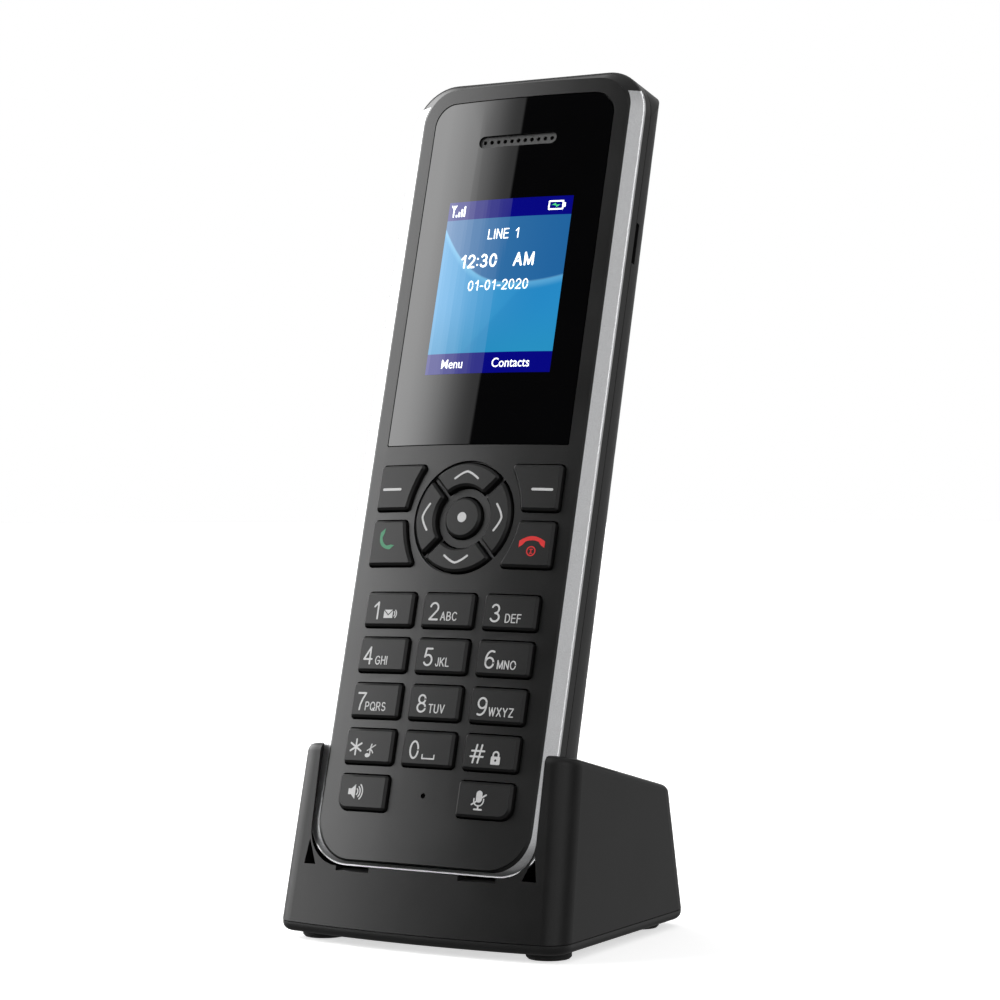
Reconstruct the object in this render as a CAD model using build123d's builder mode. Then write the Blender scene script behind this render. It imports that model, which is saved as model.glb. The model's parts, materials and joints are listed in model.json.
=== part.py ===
from build123d import *
import os
from math import cos, radians, sin, tan

os.makedirs("parts", exist_ok=True)

# A cordless telephone handset standing in its charging cradle. Millimetres, +Z up, front towards -Y.
# Handset sizes are given in the handset's own frame: across (x), along (y, towards the earpiece) and
# out of the face (z), measured from the centre of the display on the face.

# ---- Driving dimensions: place and lean -------------------------------------------------------
lean = 15.0                 # degrees that the handset leans back in the cradle
display_height = 123.5      # centre of the display above the table
middle = 1.1155             # shift that puts the origin under the middle of the whole object

# ---- Driving dimensions: handset --------------------------------------------------------------
half_width = 26.2
top_end = 43.0
bottom_end = -112.3
outline_radius_top = 9.0
outline_radius_bottom = 9.5
face_half_width = 22.95
face_top = 41.3
face_bottom = -111.3
face_radius_top = 6.5
face_radius_bottom = 8.0
face_curve = 196.0          # radius of the face's crown across the handset
face_edge = -1.3            # depth where the face's edge meets the bevel
bevel_depth = -2.5          # depth where the bevel meets the side
parting = -5.0              # plane where the front and rear housings meet
seam_gap = 0.15
shell = 1.8
deck = 2.0                  # thickness of the key deck
end_wall = 2.2
depth_top = 19.5            # back of the handset at its top end
depth_bottom = 21.6         # and at its bottom end
back_flat_top = 1.8         # half width of the flat part of the back
back_flat_bottom = 9.2
end_rounding = 7.0

# Display window
lens_half_width = 20.2
lens_gap = 0.2
lens_top = 38.25
lens_bottom = -31.5
lens_corner = 4.5
lens_floor = -2.05
lens_shelf = 1.0
shelf_half_width = 22.6
window = (30.4, 37.4)
screen = (29.8, 36.8)
slot_v = 29.6
slot_length = 17.6
slot_height = 2.4
slot_hole_pitch = 1.52
slot_holes = 11

# Keys
key_proud = 1.0
key_gap = 0.36
key_flange = 0.55
flange_top = -3.2
flange_bottom = -3.7
key_edge = 0.45
key_corner = 0.6
digit_size = (11.15, 6.5)
digit_columns = (-13.45, 0.0, 13.45)
digit_rows = (-63.9, -72.6, -81.4, -90.1)
function_row = -98.8
soft_outer = 20.25
soft_top = -35.75
soft_bottom = -44.45
soft_inner_top = 9.5
soft_inner_bottom = 12.7
soft_inner_middle = (11.75, -40.4)
nav_v = -45.9
nav_recess = 11.1
nav_recess_depth = 0.7
nav_outer = 10.5
nav_inner = 6.1
nav_split = 1.0
ok_radius = 3.9
mic_hole = (0.0, -98.7)

# Inside the handset
membrane_top = -4.4
membrane_thickness = 0.6
board_top = -5.2
board_thickness = 1.0
cell_radius = 5.15
cell_length = 44.5
cell_v = -56.0
cell_depth = 13.35
bay_half_width = 11.4
bay_top = -29.0
bay_bottom = -83.0
bay_wall = 1.0
door_half_width = 17.5
door_top = -25.5
door_bottom = -86.5
door_gap = 0.3
ledge_depth = -13.4
screw_seat = -10.0
grille_v = 14.0
clip_notch_depth = 1.1
clip_notch_height = 1.3
jack_v = 24.0
jack_level = -9.0
jack_radius = 2.6
screw_places = ((-16.5, 33.0), (16.5, 33.0), (-14.5, -106.2), (14.5, -106.2))
pad_across = 6.0
pad_depth = 9.0

# ---- Driving dimensions: cradle ---------------------------------------------------------------
seam_z = 3.5
cover_z = 1.5
cradle_half_width = 31.6
cradle_front = -31.7
cradle_rear = 26.1
crown_seam = 2.9            # how far the front bows out, corner to middle
crown_top = 1.9
toe_in = 4.0                # degrees by which each side closes towards the rear
side_draft = 2.5
front_lean = 12.5
rear_draft = 10.8
corner_front = 4.5
corner_rear = 6.0
top_z = 34.2                # height of the sloping top at top_y
top_y = -11.25
top_slope = 12.5
loft_top_z = 42.0
cradle_wall = 2.2
top_rounding = 1.6
well_clearance = 0.5
well_floor = -112.65
well_floor_thickness = 1.8
tub_wall = 1.6
tub_sides = 3.0
horn_half_gap = 24.8
horn_depth = 1.3
lip_corner = 7.2
lip_tab = 9.8
lip_bevel = 1.7
lip_depth = -3.4
foot_radius = 4.2
foot_places = ((-24.8, -21.9), (24.8, -21.9), (-20.5, 18.0), (20.5, 18.0))
cradle_screws_at = ((-17.5, -19.0), (17.5, -19.0), (-14.0, 13.5), (14.0, 13.5))
pin_radius = 1.1
pin_clearance = 0.06
pin_proud = 0.85
pin_length = 6.0
socket_z = 11.6
socket_face = 21.2
socket_length = 9.0
board_z = 6.4

length = top_end - bottom_end
c, s = cos(radians(lean)), sin(radians(lean))

# Table plane under the cradle, and an upright plane that faces the front.
table = Plane((0, middle, 0))
upright = Plane(origin=(0, middle, 0), x_dir=(1, 0, 0), z_dir=(0, -1, 0))

# Face plane of the handset, with its x across, its y along the handset and its z out of the face.
face = Plane(origin=(0, middle, display_height), x_dir=(1, 0, 0), z_dir=(0, -c, s))


def across(v):
    """Plane square to the handset's length at v, with its y running from the face to the back."""
    return Plane(origin=face.from_local_coords((0, v, 0)), x_dir=(1, 0, 0), z_dir=(0, s, c))


def side_plane(u):
    """Plane along the handset at u, with its x along the handset and its y out of the face."""
    return Plane(origin=face.from_local_coords((u, 0, 0)), x_dir=(0, s, c), z_dir=(1, 0, 0))


def finish(builder, label):
    """Name a finished sub-part and write its STEP file."""
    builder.part.label = label
    export_step(builder.part, f"parts/{label}.step")


def crown(height):
    """Solid bounded by the handset's crowned face moved out by height."""
    with BuildPart(mode=Mode.PRIVATE) as drum:
        with BuildSketch(across(bottom_end - 10)):
            with Locations((0, face_curve)):
                Circle(face_curve + height)
        extrude(amount=length + 20)
    return drum.part


def rounded_outline(half, low, high, r_low, r_high):
    """Rounded rectangle with its own corner radii at each end, drawn in the current sketch."""
    with BuildSketch(mode=Mode.PRIVATE) as shape:
        with Locations((0, (low + high) / 2)):
            Rectangle(2 * half, high - low)
        fillet(shape.vertices().group_by(Axis.Y)[0], r_low)
        fillet(shape.vertices().group_by(Axis.Y)[-1], r_high)
    return shape.sketch


def outer_outline(inset=0.0):
    """Outline of the handset, drawn in by inset."""
    return rounded_outline(half_width - inset, bottom_end + inset, top_end - inset,
                           outline_radius_bottom - inset, outline_radius_top - inset)


def face_outline(grow=0.0, grow_ends=0.0):
    """Outline of the face, let out by grow at the sides and grow_ends at the ends."""
    return rounded_outline(face_half_width + grow, face_bottom - grow_ends, face_top + grow_ends,
                           face_radius_bottom, face_radius_top)


def front_form():
    """Outer form of the front housing: side band, bevel and crowned face."""
    with BuildPart(mode=Mode.PRIVATE) as form:
        with BuildSketch(face.offset(parting)):
            add(outer_outline())
        extrude(amount=bevel_depth - parting)
        with BuildSketch(face.offset(bevel_depth)):
            add(outer_outline(0.25))
        with BuildSketch(face.offset(face_edge)):
            add(face_outline())
        loft()
        with BuildSketch(face.offset(face_edge)):
            add(face_outline())
        extrude(amount=2.0)
        add(crown(0.0), mode=Mode.INTERSECT)
    return form.part


def back_section(v, flat, depth, inset):
    """Half-oval section of the rear housing at v, drawn in by inset."""
    half = half_width - inset
    bottom = depth - inset
    with BuildSketch(across(v)) as section:
        with BuildLine():
            reach_side = 0.5523 * (bottom + parting)
            reach_back = 0.5523 * (half - flat)
            Bezier((half, -parting), (half, -parting + reach_side), (flat + reach_back, bottom),
                   (flat, bottom))
            Line((flat, bottom), (-flat, bottom))
            Bezier((-flat, bottom), (-flat - reach_back, bottom), (-half, -parting + reach_side),
                   (-half, -parting))
            Line((-half, -parting), (half, -parting))
        make_face()
    return section.sketch


def rear_form(inset=0.0):
    """Solid form of the rear half of the handset, drawn in by inset."""
    ends = end_wall if inset else 0.0
    with BuildPart(mode=Mode.PRIVATE) as form:
        loft([back_section(bottom_end, back_flat_bottom, depth_bottom, inset),
              back_section(top_end, back_flat_top, depth_top, inset)], ruled=True)
        with BuildSketch(face.offset(-30)):
            add(outer_outline(inset))
        extrude(amount=30, mode=Mode.INTERSECT)
        with BuildSketch(side_plane(-40)) as profile:
            with BuildLine():
                Polyline((bottom_end + ends, 5), (bottom_end + ends, -depth_bottom - 0.01),
                         (top_end - ends, -depth_bottom - 0.01), (top_end - ends, 5), close=True)
            make_face()
            fillet(profile.vertices().group_by(Axis.Y)[0], end_rounding - ends / 2)
        extrude(amount=80, mode=Mode.INTERSECT)
    return form.part


# ---- Key outlines -----------------------------------------------------------------------------
def digit_outline(grow=0.0, corner=key_corner):
    """Outline of a digit key, let out by grow."""
    with BuildSketch(mode=Mode.PRIVATE) as shape:
        RectangleRounded(digit_size[0] + 2 * grow, digit_size[1] + 2 * grow, corner + grow)
    return shape.sketch


def function_outline(side, grow=0.0):
    """Outline of a key in the bottom row, with its outer lower corner cut round."""
    half_w, half_h = digit_size[0] / 2 + grow, digit_size[1] / 2 + grow
    with BuildSketch(mode=Mode.PRIVATE) as shape:
        Rectangle(2 * half_w, 2 * half_h)
        lower = shape.vertices().filter_by(lambda p: p.Y < 0 and p.X * side > 0)
        fillet(lower, 2.2 + grow)
        sharp = shape.vertices().filter_by(lambda p: p.Y > 0 or p.X * side < -half_w + 0.1)
        fillet(sharp, key_corner + grow)
    return shape.sketch


def soft_outline(side, lower, grow=0.0):
    """Outline of a soft key (lower False) or a call key (lower True), on one side."""
    def place(u, v):
        return (side * u, 2 * nav_v - v + 0.75 if lower else v)

    with BuildSketch(mode=Mode.PRIVATE) as shape:
        with BuildLine():
            Line(place(soft_inner_top, soft_top), place(soft_outer, soft_top))
            Line(place(soft_outer, soft_top), place(soft_outer, soft_bottom))
            Line(place(soft_outer, soft_bottom), place(soft_inner_bottom, soft_bottom))
            ThreePointArc(place(soft_inner_bottom, soft_bottom), place(*soft_inner_middle),
                          place(soft_inner_top, soft_top))
        make_face()
        fillet(shape.vertices(), key_corner)
        if grow:
            offset(amount=grow, kind=Kind.INTERSECTION)
    return shape.sketch


def nav_outline(quarter, grow=0.0):
    """Outline of one quarter of the navigation ring; quarter 0 is right, 1 up, 2 left, 3 down."""
    reach = nav_outer + 4
    start = (nav_split / 2 - min(grow, 0.25)) * 2 ** 0.5
    with BuildSketch(mode=Mode.PRIVATE) as shape:
        Circle(nav_outer + grow)
        Circle(nav_inner - grow, mode=Mode.SUBTRACT)
        with BuildLine():
            Polyline((start, 0), (start + reach, reach), (start + reach, -reach), close=True)
        make_face(mode=Mode.INTERSECT)
        if not grow:
            fillet(shape.vertices(), key_corner)
    return Pos(0, nav_v) * Rot(0, 0, 90 * quarter) * shape.sketch


def ok_outline(grow=0.0):
    """Outline of the round middle key."""
    with BuildSketch(mode=Mode.PRIVATE) as shape:
        with Locations((0, nav_v)):
            Circle(ok_radius + grow)
    return shape.sketch


digit_names = (("1", "2", "3"), ("4", "5", "6"), ("7", "8", "9"), ("star", "0", "hash"))
keys = {}
for row_v, names in zip(digit_rows, digit_names):
    for column_u, name in zip(digit_columns, names):
        keys[f"key_{name}"] = (lambda grow, u=column_u, v=row_v: Pos(u, v) * digit_outline(grow))
keys["key_speaker"] = lambda grow: Pos(digit_columns[0], function_row) * function_outline(-1, grow)
keys["key_mute"] = lambda grow: Pos(digit_columns[2], function_row) * function_outline(1, grow)
keys["softkey_left"] = lambda grow: soft_outline(-1, False, grow)
keys["softkey_right"] = lambda grow: soft_outline(1, False, grow)
keys["key_call"] = lambda grow: soft_outline(-1, True, grow)
keys["key_end"] = lambda grow: soft_outline(1, True, grow)
for quarter, name in enumerate(("nav_right", "nav_up", "nav_left", "nav_down")):
    keys[name] = lambda grow, q=quarter: nav_outline(q, grow)
keys["nav_ok"] = ok_outline

for name, outline_of in keys.items():
    proud = key_proud * (0.35 if name == "nav_ok" else 0.6 if name.startswith("nav") else 1.0)
    with BuildPart() as key:
        with BuildSketch(face.offset(flange_bottom)):
            add(outline_of(0))
        extrude(amount=8)
        add(crown(proud), mode=Mode.INTERSECT)
        top = key.faces().sort_by(Axis(face.origin, face.z_dir))[-1]
        chamfer(top.edges(), key_edge)
        with BuildSketch(face.offset(flange_bottom)):
            add(outline_of(key_flange))
        extrude(amount=flange_top - flange_bottom)
    finish(key, name)

# ---- Side trim --------------------------------------------------------------------------------
trim_floor = -3.0
trim_end = 38.6
with BuildPart(mode=Mode.PRIVATE) as trim_ring:
    with BuildSketch(face.offset(trim_floor)):
        add(outer_outline(-0.3))
        add(face_outline(0.6, 0.3), mode=Mode.SUBTRACT)
        with Locations((0, trim_end + 10)):
            Rectangle(60, 20, mode=Mode.SUBTRACT)
    extrude(amount=4)

with BuildPart() as side_trim:
    add(front_form())
    add(trim_ring.part, mode=Mode.INTERSECT)
finish(side_trim, "side_trim")

# ---- Front housing ----------------------------------------------------------------------------
with BuildPart() as front_housing:
    add(front_form())
    with BuildPart(mode=Mode.PRIVATE) as hollow:
        with BuildSketch(face.offset(parting)):
            add(rounded_outline(half_width - shell, face_bottom + end_wall, face_top - end_wall,
                                face_radius_bottom - 1, face_radius_top - 1))
        extrude(amount=6)
        add(crown(-deck), mode=Mode.INTERSECT)
    add(hollow.part, mode=Mode.SUBTRACT)
    add(trim_ring.part, mode=Mode.SUBTRACT)
    # Shelf that carries the display window.
    with BuildSketch(face.offset(lens_floor - lens_shelf)):
        add(rounded_outline(shelf_half_width, lens_bottom - 1.5, face_top - 0.5, 1.0,
                            face_radius_top - 1.0))
    extrude(amount=lens_shelf)
    with BuildSketch(face.offset(lens_floor)):
        add(rounded_outline(lens_half_width + lens_gap, lens_bottom - lens_gap, lens_top + lens_gap, 0.4,
                            lens_corner))
    extrude(amount=4, mode=Mode.SUBTRACT)
    with BuildSketch(face.offset(lens_floor - 2 * lens_shelf)):
        RectangleRounded(*window, 0.5)
        with Locations((0, slot_v)):
            SlotOverall(slot_length - 2, slot_height)
    extrude(amount=4, mode=Mode.SUBTRACT)
    # Key holes, the navigation recess and the microphone hole.
    with BuildSketch(face.offset(-nav_recess_depth)):
        with Locations((0, nav_v)):
            Circle(nav_recess)
    extrude(amount=4, mode=Mode.SUBTRACT)
    with BuildSketch(face.offset(parting)):
        for outline_of in keys.values():
            add(outline_of(key_gap))
        with Locations(mic_hole):
            Circle(0.5)
    extrude(amount=8, mode=Mode.SUBTRACT)
    # Screw bosses.
    with BuildSketch(face.offset(parting)):
        with Locations(*screw_places[:2]):
            Circle(2.3)
    extrude(amount=-parting - deck - 0.5)
    with BuildSketch(face.offset(parting)):
        with Locations(*screw_places[2:]):
            Circle(2.3)
    extrude(amount=-parting - deck + 0.8)
    with BuildSketch(face.offset(parting)):
        with Locations(*screw_places):
            Circle(0.95)
    extrude(amount=2.0, mode=Mode.SUBTRACT)
finish(front_housing, "front_housing")

# ---- Display, earpiece and microphone ---------------------------------------------------------
with BuildPart() as display_lens:
    with BuildSketch(face.offset(lens_floor + 0.02)):
        add(rounded_outline(lens_half_width, lens_bottom, lens_top, 0.3, lens_corner))
        with Locations((0, slot_v)):
            SlotOverall(slot_length, slot_height, mode=Mode.SUBTRACT)
    extrude(amount=4)
    add(crown(-0.02), mode=Mode.INTERSECT)
finish(display_lens, "display_lens")

with BuildPart() as display_module:
    with BuildSketch(face.offset(lens_floor - lens_shelf - 0.05)):
        Rectangle(*screen)
    extrude(amount=lens_shelf)
    with BuildSketch(face.offset(lens_floor - lens_shelf - 1.9)):
        with Locations((0, -1.5)):
            RectangleRounded(screen[0] + 4, screen[1] + 7, 0.8)
    extrude(amount=1.85)
finish(display_module, "display_module")

with BuildPart() as earpiece_mesh:
    with BuildSketch(face.offset(-1.35)):
        with Locations((0, slot_v)):
            SlotOverall(slot_length - 0.1, slot_height - 0.1)
        with Locations((0, slot_v)):
            with GridLocations(slot_hole_pitch, 1, slot_holes, 1):
                Circle(0.42, mode=Mode.SUBTRACT)
    extrude(amount=0.75)
finish(earpiece_mesh, "earpiece_mesh")

with BuildPart() as earpiece_speaker:
    with BuildSketch(face.offset(lens_floor - lens_shelf - 1.9)):
        with Locations((0, slot_v)):
            RectangleRounded(15, 7, 1.5)
    extrude(amount=1.85)
finish(earpiece_speaker, "earpiece_speaker")

with BuildPart() as microphone:
    with BuildSketch(face.offset(membrane_top + 0.1)):
        with Locations(mic_hole):
            Circle(2.0)
    extrude(amount=2.0)
finish(microphone, "microphone")

# ---- Keypad membrane and circuit board --------------------------------------------------------
inner_half = half_width - shell - 0.5
with BuildPart() as keypad_membrane:
    with BuildSketch(face.offset(membrane_top - membrane_thickness)):
        with Locations((0, (lens_bottom - 3 + function_row - 5) / 2)):
            RectangleRounded(2 * inner_half - 5, lens_bottom - 3 - function_row + 5, 1.5)
        with Locations(*screw_places[2:]):
            Circle(2.8, mode=Mode.SUBTRACT)
    extrude(amount=membrane_thickness)
finish(keypad_membrane, "keypad_membrane")

with BuildPart() as main_circuit_board:
    with BuildSketch(face.offset(board_top - board_thickness)):
        with Locations((0, (36.5 + bottom_end + 6) / 2)):
            RectangleRounded(2 * inner_half - 2, 36.5 - bottom_end - 6, 7)
        with Locations(*screw_places):
            Circle(3.3, mode=Mode.SUBTRACT)
    extrude(amount=board_thickness)
    with BuildSketch(face.offset(board_top - board_thickness - 1.8)):
        with Locations((-6, -14), (9, -14)):
            RectangleRounded(12, 16, 0.6)
        with Locations((0, -96)):
            RectangleRounded(12, 9, 0.6)
    extrude(amount=1.8)
finish(main_circuit_board, "main_circuit_board")

antenna_v = 38.6
antenna_width = 22
with BuildPart() as antenna:
    with BuildSketch(face.offset(board_top - 3)):
        with Locations((0, antenna_v)):
            Rectangle(antenna_width, 0.6)
    extrude(amount=2.5)
    with BuildSketch(face.offset(board_top - 0.55)):
        with Locations((0, antenna_v - 0.9)):
            Rectangle(antenna_width, 2.0)
    extrude(amount=0.5)
finish(antenna, "antenna")

# ---- Rear housing -----------------------------------------------------------------------------
door_mid = (door_top + door_bottom) / 2
door_length = door_top - door_bottom
bay_mid = (bay_top + bay_bottom) / 2
bay_length = bay_top - bay_bottom
bay_floor = -(cell_depth - cell_radius - 0.15)

with BuildPart(mode=Mode.PRIVATE) as rear_wall:
    add(rear_form())
    add(rear_form(shell), mode=Mode.SUBTRACT)

with BuildPart() as rear_housing:
    add(rear_wall.part)
    # Battery bay: a tray open to the back.
    with BuildSketch(face.offset(bay_floor)):
        with Locations((0, bay_mid)):
            Rectangle(2 * bay_half_width + 2 * bay_wall, bay_length + 2 * bay_wall)
    extrude(amount=bay_wall)
    with BuildSketch(face.offset(bay_floor)):
        with Locations((0, bay_mid)):
            Rectangle(2 * bay_half_width + 2 * bay_wall, bay_length + 2 * bay_wall)
            Rectangle(2 * bay_half_width, bay_length, mode=Mode.SUBTRACT)
    extrude(amount=-(14.5 + bay_floor))
    # Ledge that the door rests on, and screw bosses.
    with BuildSketch(face.offset(ledge_depth)):
        with Locations((0, door_mid)):
            Rectangle(2 * (door_half_width + 3), door_length + 3)
            Rectangle(2 * (bay_half_width + bay_wall / 2), bay_length + bay_wall,
                      mode=Mode.SUBTRACT)
    extrude(amount=-0.9)
    with BuildSketch(face.offset(parting - seam_gap)):
        with Locations(*screw_places):
            Circle(3.0)
    extrude(amount=-20)
    add(rear_form(0.3), mode=Mode.INTERSECT)
    add(rear_wall.part)
    # Door opening.
    with BuildSketch(face.offset(ledge_depth - 1)):
        with Locations((0, door_mid)):
            RectangleRounded(2 * door_half_width, door_length, 1.5)
    extrude(amount=-20, mode=Mode.SUBTRACT)
    # Screw wells.
    with BuildSketch(face.offset(screw_seat)):
        with Locations(*screw_places):
            Circle(2.2)
    extrude(amount=-20, mode=Mode.SUBTRACT)
    with BuildSketch(face.offset(0)):
        with Locations(*screw_places):
            Circle(1.15)
    extrude(amount=-20, mode=Mode.SUBTRACT)
    # Loudspeaker grille.
    with BuildSketch(face.offset(-12)):
        with Locations((0, grille_v)):
            with HexLocations(1.35, 7, 5):
                Circle(0.65)
    extrude(amount=-15, mode=Mode.SUBTRACT)
    # Belt-clip notches beside the parting line.
    with BuildSketch(face.offset(parting)):
        with Locations((-half_width, 9), (half_width, 9)):
            Rectangle(2 * clip_notch_depth, 8)
    extrude(amount=-clip_notch_height, mode=Mode.SUBTRACT)
    # Charge pad windows in the lower end wall.
    with BuildSketch(across(bottom_end - 1)):
        with Locations((-pad_across, pad_depth), (pad_across, pad_depth)):
            Rectangle(4.2, 4.2)
    extrude(amount=end_wall + 2, mode=Mode.SUBTRACT)
    # Headset socket opening on the left side.
    with BuildSketch(side_plane(-half_width - 2)):
        with Locations((jack_v, jack_level)):
            Circle(jack_radius + 0.3)
    extrude(amount=10, mode=Mode.SUBTRACT)
    # Seam gap under the front housing.
    with BuildSketch(face.offset(parting - seam_gap)):
        Rectangle(80, 400)
    extrude(amount=10, mode=Mode.SUBTRACT)
finish(rear_housing, "rear_housing")

# ---- Battery door and cells -------------------------------------------------------------------
with BuildPart() as battery_door:
    add(rear_wall.part)
    with BuildSketch(face.offset(-8.5)):
        with Locations((0, door_mid)):
            RectangleRounded(2 * (door_half_width - door_gap), door_length - 2 * door_gap, 1.3)
    extrude(amount=-20, mode=Mode.INTERSECT)
    with BuildPart(mode=Mode.PRIVATE) as rim:
        with BuildSketch(face.offset(ledge_depth - 1.0)):
            with Locations((0, door_mid)):
                RectangleRounded(2 * (door_half_width - door_gap), door_length - 2 * door_gap, 1.3)
                Rectangle(2 * (door_half_width - 1.6), door_length - 3.2, mode=Mode.SUBTRACT)
        extrude(amount=-8)
        add(rear_form(0.5), mode=Mode.INTERSECT)
    add(rim.part)
    # Thumb grip: shallow grooves near the lower edge.
    with BuildSketch(side_plane(-8)):
        with Locations(*[(door_bottom + 8 + 2.2 * i, -depth_bottom - 0.1) for i in range(4)]):
            Circle(0.9)
    extrude(amount=16, mode=Mode.SUBTRACT)
finish(battery_door, "battery_door")

with BuildPart() as battery_cells:
    with BuildSketch(across(cell_v - cell_length / 2)):
        with Locations((-cell_radius - 0.15, cell_depth), (cell_radius + 0.15, cell_depth)):
            Circle(cell_radius)
    extrude(amount=cell_length - 0.8)
    with BuildSketch(across(cell_v + cell_length / 2 - 0.8)):
        with Locations((-cell_radius - 0.15, cell_depth), (cell_radius + 0.15, cell_depth)):
            Circle(1.9)
    extrude(amount=0.8)
finish(battery_cells, "battery_cells")

with BuildPart() as battery_contacts:
    for side in (-1, 1):
        with BuildSketch(across(cell_v + cell_length / 2 + 0.1)):
            with Locations((side * (cell_radius + 0.15), cell_depth)):
                RectangleRounded(8, 7.5, 1.0)
        extrude(amount=0.5)
        with BuildSketch(across(bay_bottom + 0.15)):
            with Locations((side * (cell_radius + 0.15), cell_depth)):
                RectangleRounded(8, 7.5, 1.0)
        extrude(amount=0.5)
        with BuildSketch(across(bay_bottom + 0.65)):
            with Locations((side * (cell_radius + 0.15), cell_depth)):
                Circle(3.0)
                Circle(2.2, mode=Mode.SUBTRACT)
        extrude(amount=cell_v - cell_length / 2 - bay_bottom - 0.75)
finish(battery_contacts, "battery_contacts")

# ---- Loudspeaker, headset socket, charge pads and screws --------------------------------------
with BuildPart() as loudspeaker:
    with BuildSketch(face.offset(-11.0)):
        with Locations((0, grille_v)):
            Circle(9.0)
    extrude(amount=-3.0)
    with BuildSketch(face.offset(-9.0)):
        with Locations((0, grille_v)):
            Circle(5.0)
    extrude(amount=-2.0)
finish(loudspeaker, "loudspeaker")

with BuildPart() as headset_socket:
    with BuildSketch(side_plane(-half_width + 1.0)):
        with Locations((jack_v, jack_level)):
            Circle(jack_radius)
    extrude(amount=3)
    with BuildSketch(side_plane(-half_width + 4.0)):
        with Locations((jack_v, jack_level)):
            Circle(jack_radius)
    extrude(amount=3)
    with BuildSketch(side_plane(-half_width + 7.0)):
        with Locations((jack_v, jack_level - 0.2)):
            Rectangle(6.4, 5.0)
    extrude(amount=6)
    with BuildSketch(side_plane(-half_width + 1.0)):
        with Locations((jack_v, jack_level)):
            Circle(1.8)
    extrude(amount=11, mode=Mode.SUBTRACT)
finish(headset_socket, "headset_socket")

with BuildPart() as charge_pads:
    with BuildSketch(across(bottom_end + 1.0)):
        with Locations((-pad_across, pad_depth), (pad_across, pad_depth)):
            Rectangle(4.0, 4.0)
    extrude(amount=0.4)
finish(charge_pads, "charge_pads")

with BuildPart() as handset_screws:
    with BuildSketch(face.offset(screw_seat - 0.02)):
        with Locations(*screw_places):
            Circle(2.0)
    extrude(amount=-1.4)
    with BuildSketch(face.offset(screw_seat - 0.02)):
        with Locations(*screw_places):
            Circle(0.9)
    extrude(amount=-screw_seat - 3.4)
    with BuildSketch(face.offset(screw_seat - 1.42)):
        with Locations(*screw_places):
            Rectangle(2.4, 0.5)
            Rectangle(0.5, 2.4)
    extrude(amount=0.7, mode=Mode.SUBTRACT)
finish(handset_screws, "handset_screws")

# ---- Cradle -----------------------------------------------------------------------------------
def cradle_outline(z, inset=0.0):
    """Outline of the cradle at height z, drawn in by inset, laid flat."""
    rise = z - seam_z
    share = rise / (loft_top_z - seam_z)
    half = cradle_half_width - rise * tan(radians(side_draft)) - inset
    front = cradle_front + rise * tan(radians(front_lean)) + inset
    rear = cradle_rear - rise * tan(radians(rear_draft)) - inset
    bow = crown_seam + (crown_top - crown_seam) * share
    rear_half = half - (rear - front - bow) * tan(radians(toe_in))
    with BuildSketch(mode=Mode.PRIVATE) as section:
        with BuildLine():
            ThreePointArc((-half, front + bow), (0, front), (half, front + bow))
            Line((half, front + bow), (rear_half, rear))
            Line((rear_half, rear), (-rear_half, rear))
            Line((-rear_half, rear), (-half, front + bow))
        make_face()
        fillet(section.vertices().group_by(Axis.Y)[-1], corner_rear - inset)
        fillet(section.vertices().sort_by(Axis.Y)[:2], corner_front - inset)
    return section.sketch


def cradle_section(z, inset=0.0):
    """Outline of the cradle at height z, in place."""
    with BuildSketch(table.offset(z)) as section:
        add(cradle_outline(z, inset))
    return section.sketch


def cradle_form(inset=0.0, rounding=0.0):
    """Solid form of the cradle above its seam, drawn in by inset, with a sloping top."""
    slope_plane = Plane(origin=(0, middle + top_y, top_z - inset),
                        z_dir=(0, sin(radians(top_slope)), cos(radians(top_slope))))
    with BuildPart(mode=Mode.PRIVATE) as form:
        loft([cradle_section(seam_z, inset), cradle_section(loft_top_z, inset)], ruled=True)
        split(bisect_by=slope_plane, keep=Keep.BOTTOM)
        if rounding:
            rim_face = form.faces().sort_by(Axis.Z)[-1]
            fillet(rim_face.edges(), rounding)
    return form.part


def well_section(grow=0.0, sides=0.0):
    """Section of the well, square to the handset's length, let out by grow, or by sides sideways."""
    half = half_width + well_clearance + sides
    back = depth_bottom + well_clearance + grow
    with BuildSketch(mode=Mode.PRIVATE) as shape:
        with BuildLine():
            Polyline((-half, 2.2 - grow), (-half, back), (half, back), (half, 2.2 - grow),
                     (horn_half_gap - grow, horn_depth - grow),
                     (-horn_half_gap + grow, horn_depth - grow), close=True)
        make_face()
        fillet(shape.vertices().group_by(Axis.Y)[-1], 6.0 + grow)
    return shape.sketch


with BuildPart(mode=Mode.PRIVATE) as well_tub:
    with BuildSketch(across(well_floor - well_floor_thickness)):
        add(well_section(tub_wall, tub_sides))
    extrude(amount=60)
    add(cradle_form(0.4), mode=Mode.INTERSECT)

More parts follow.
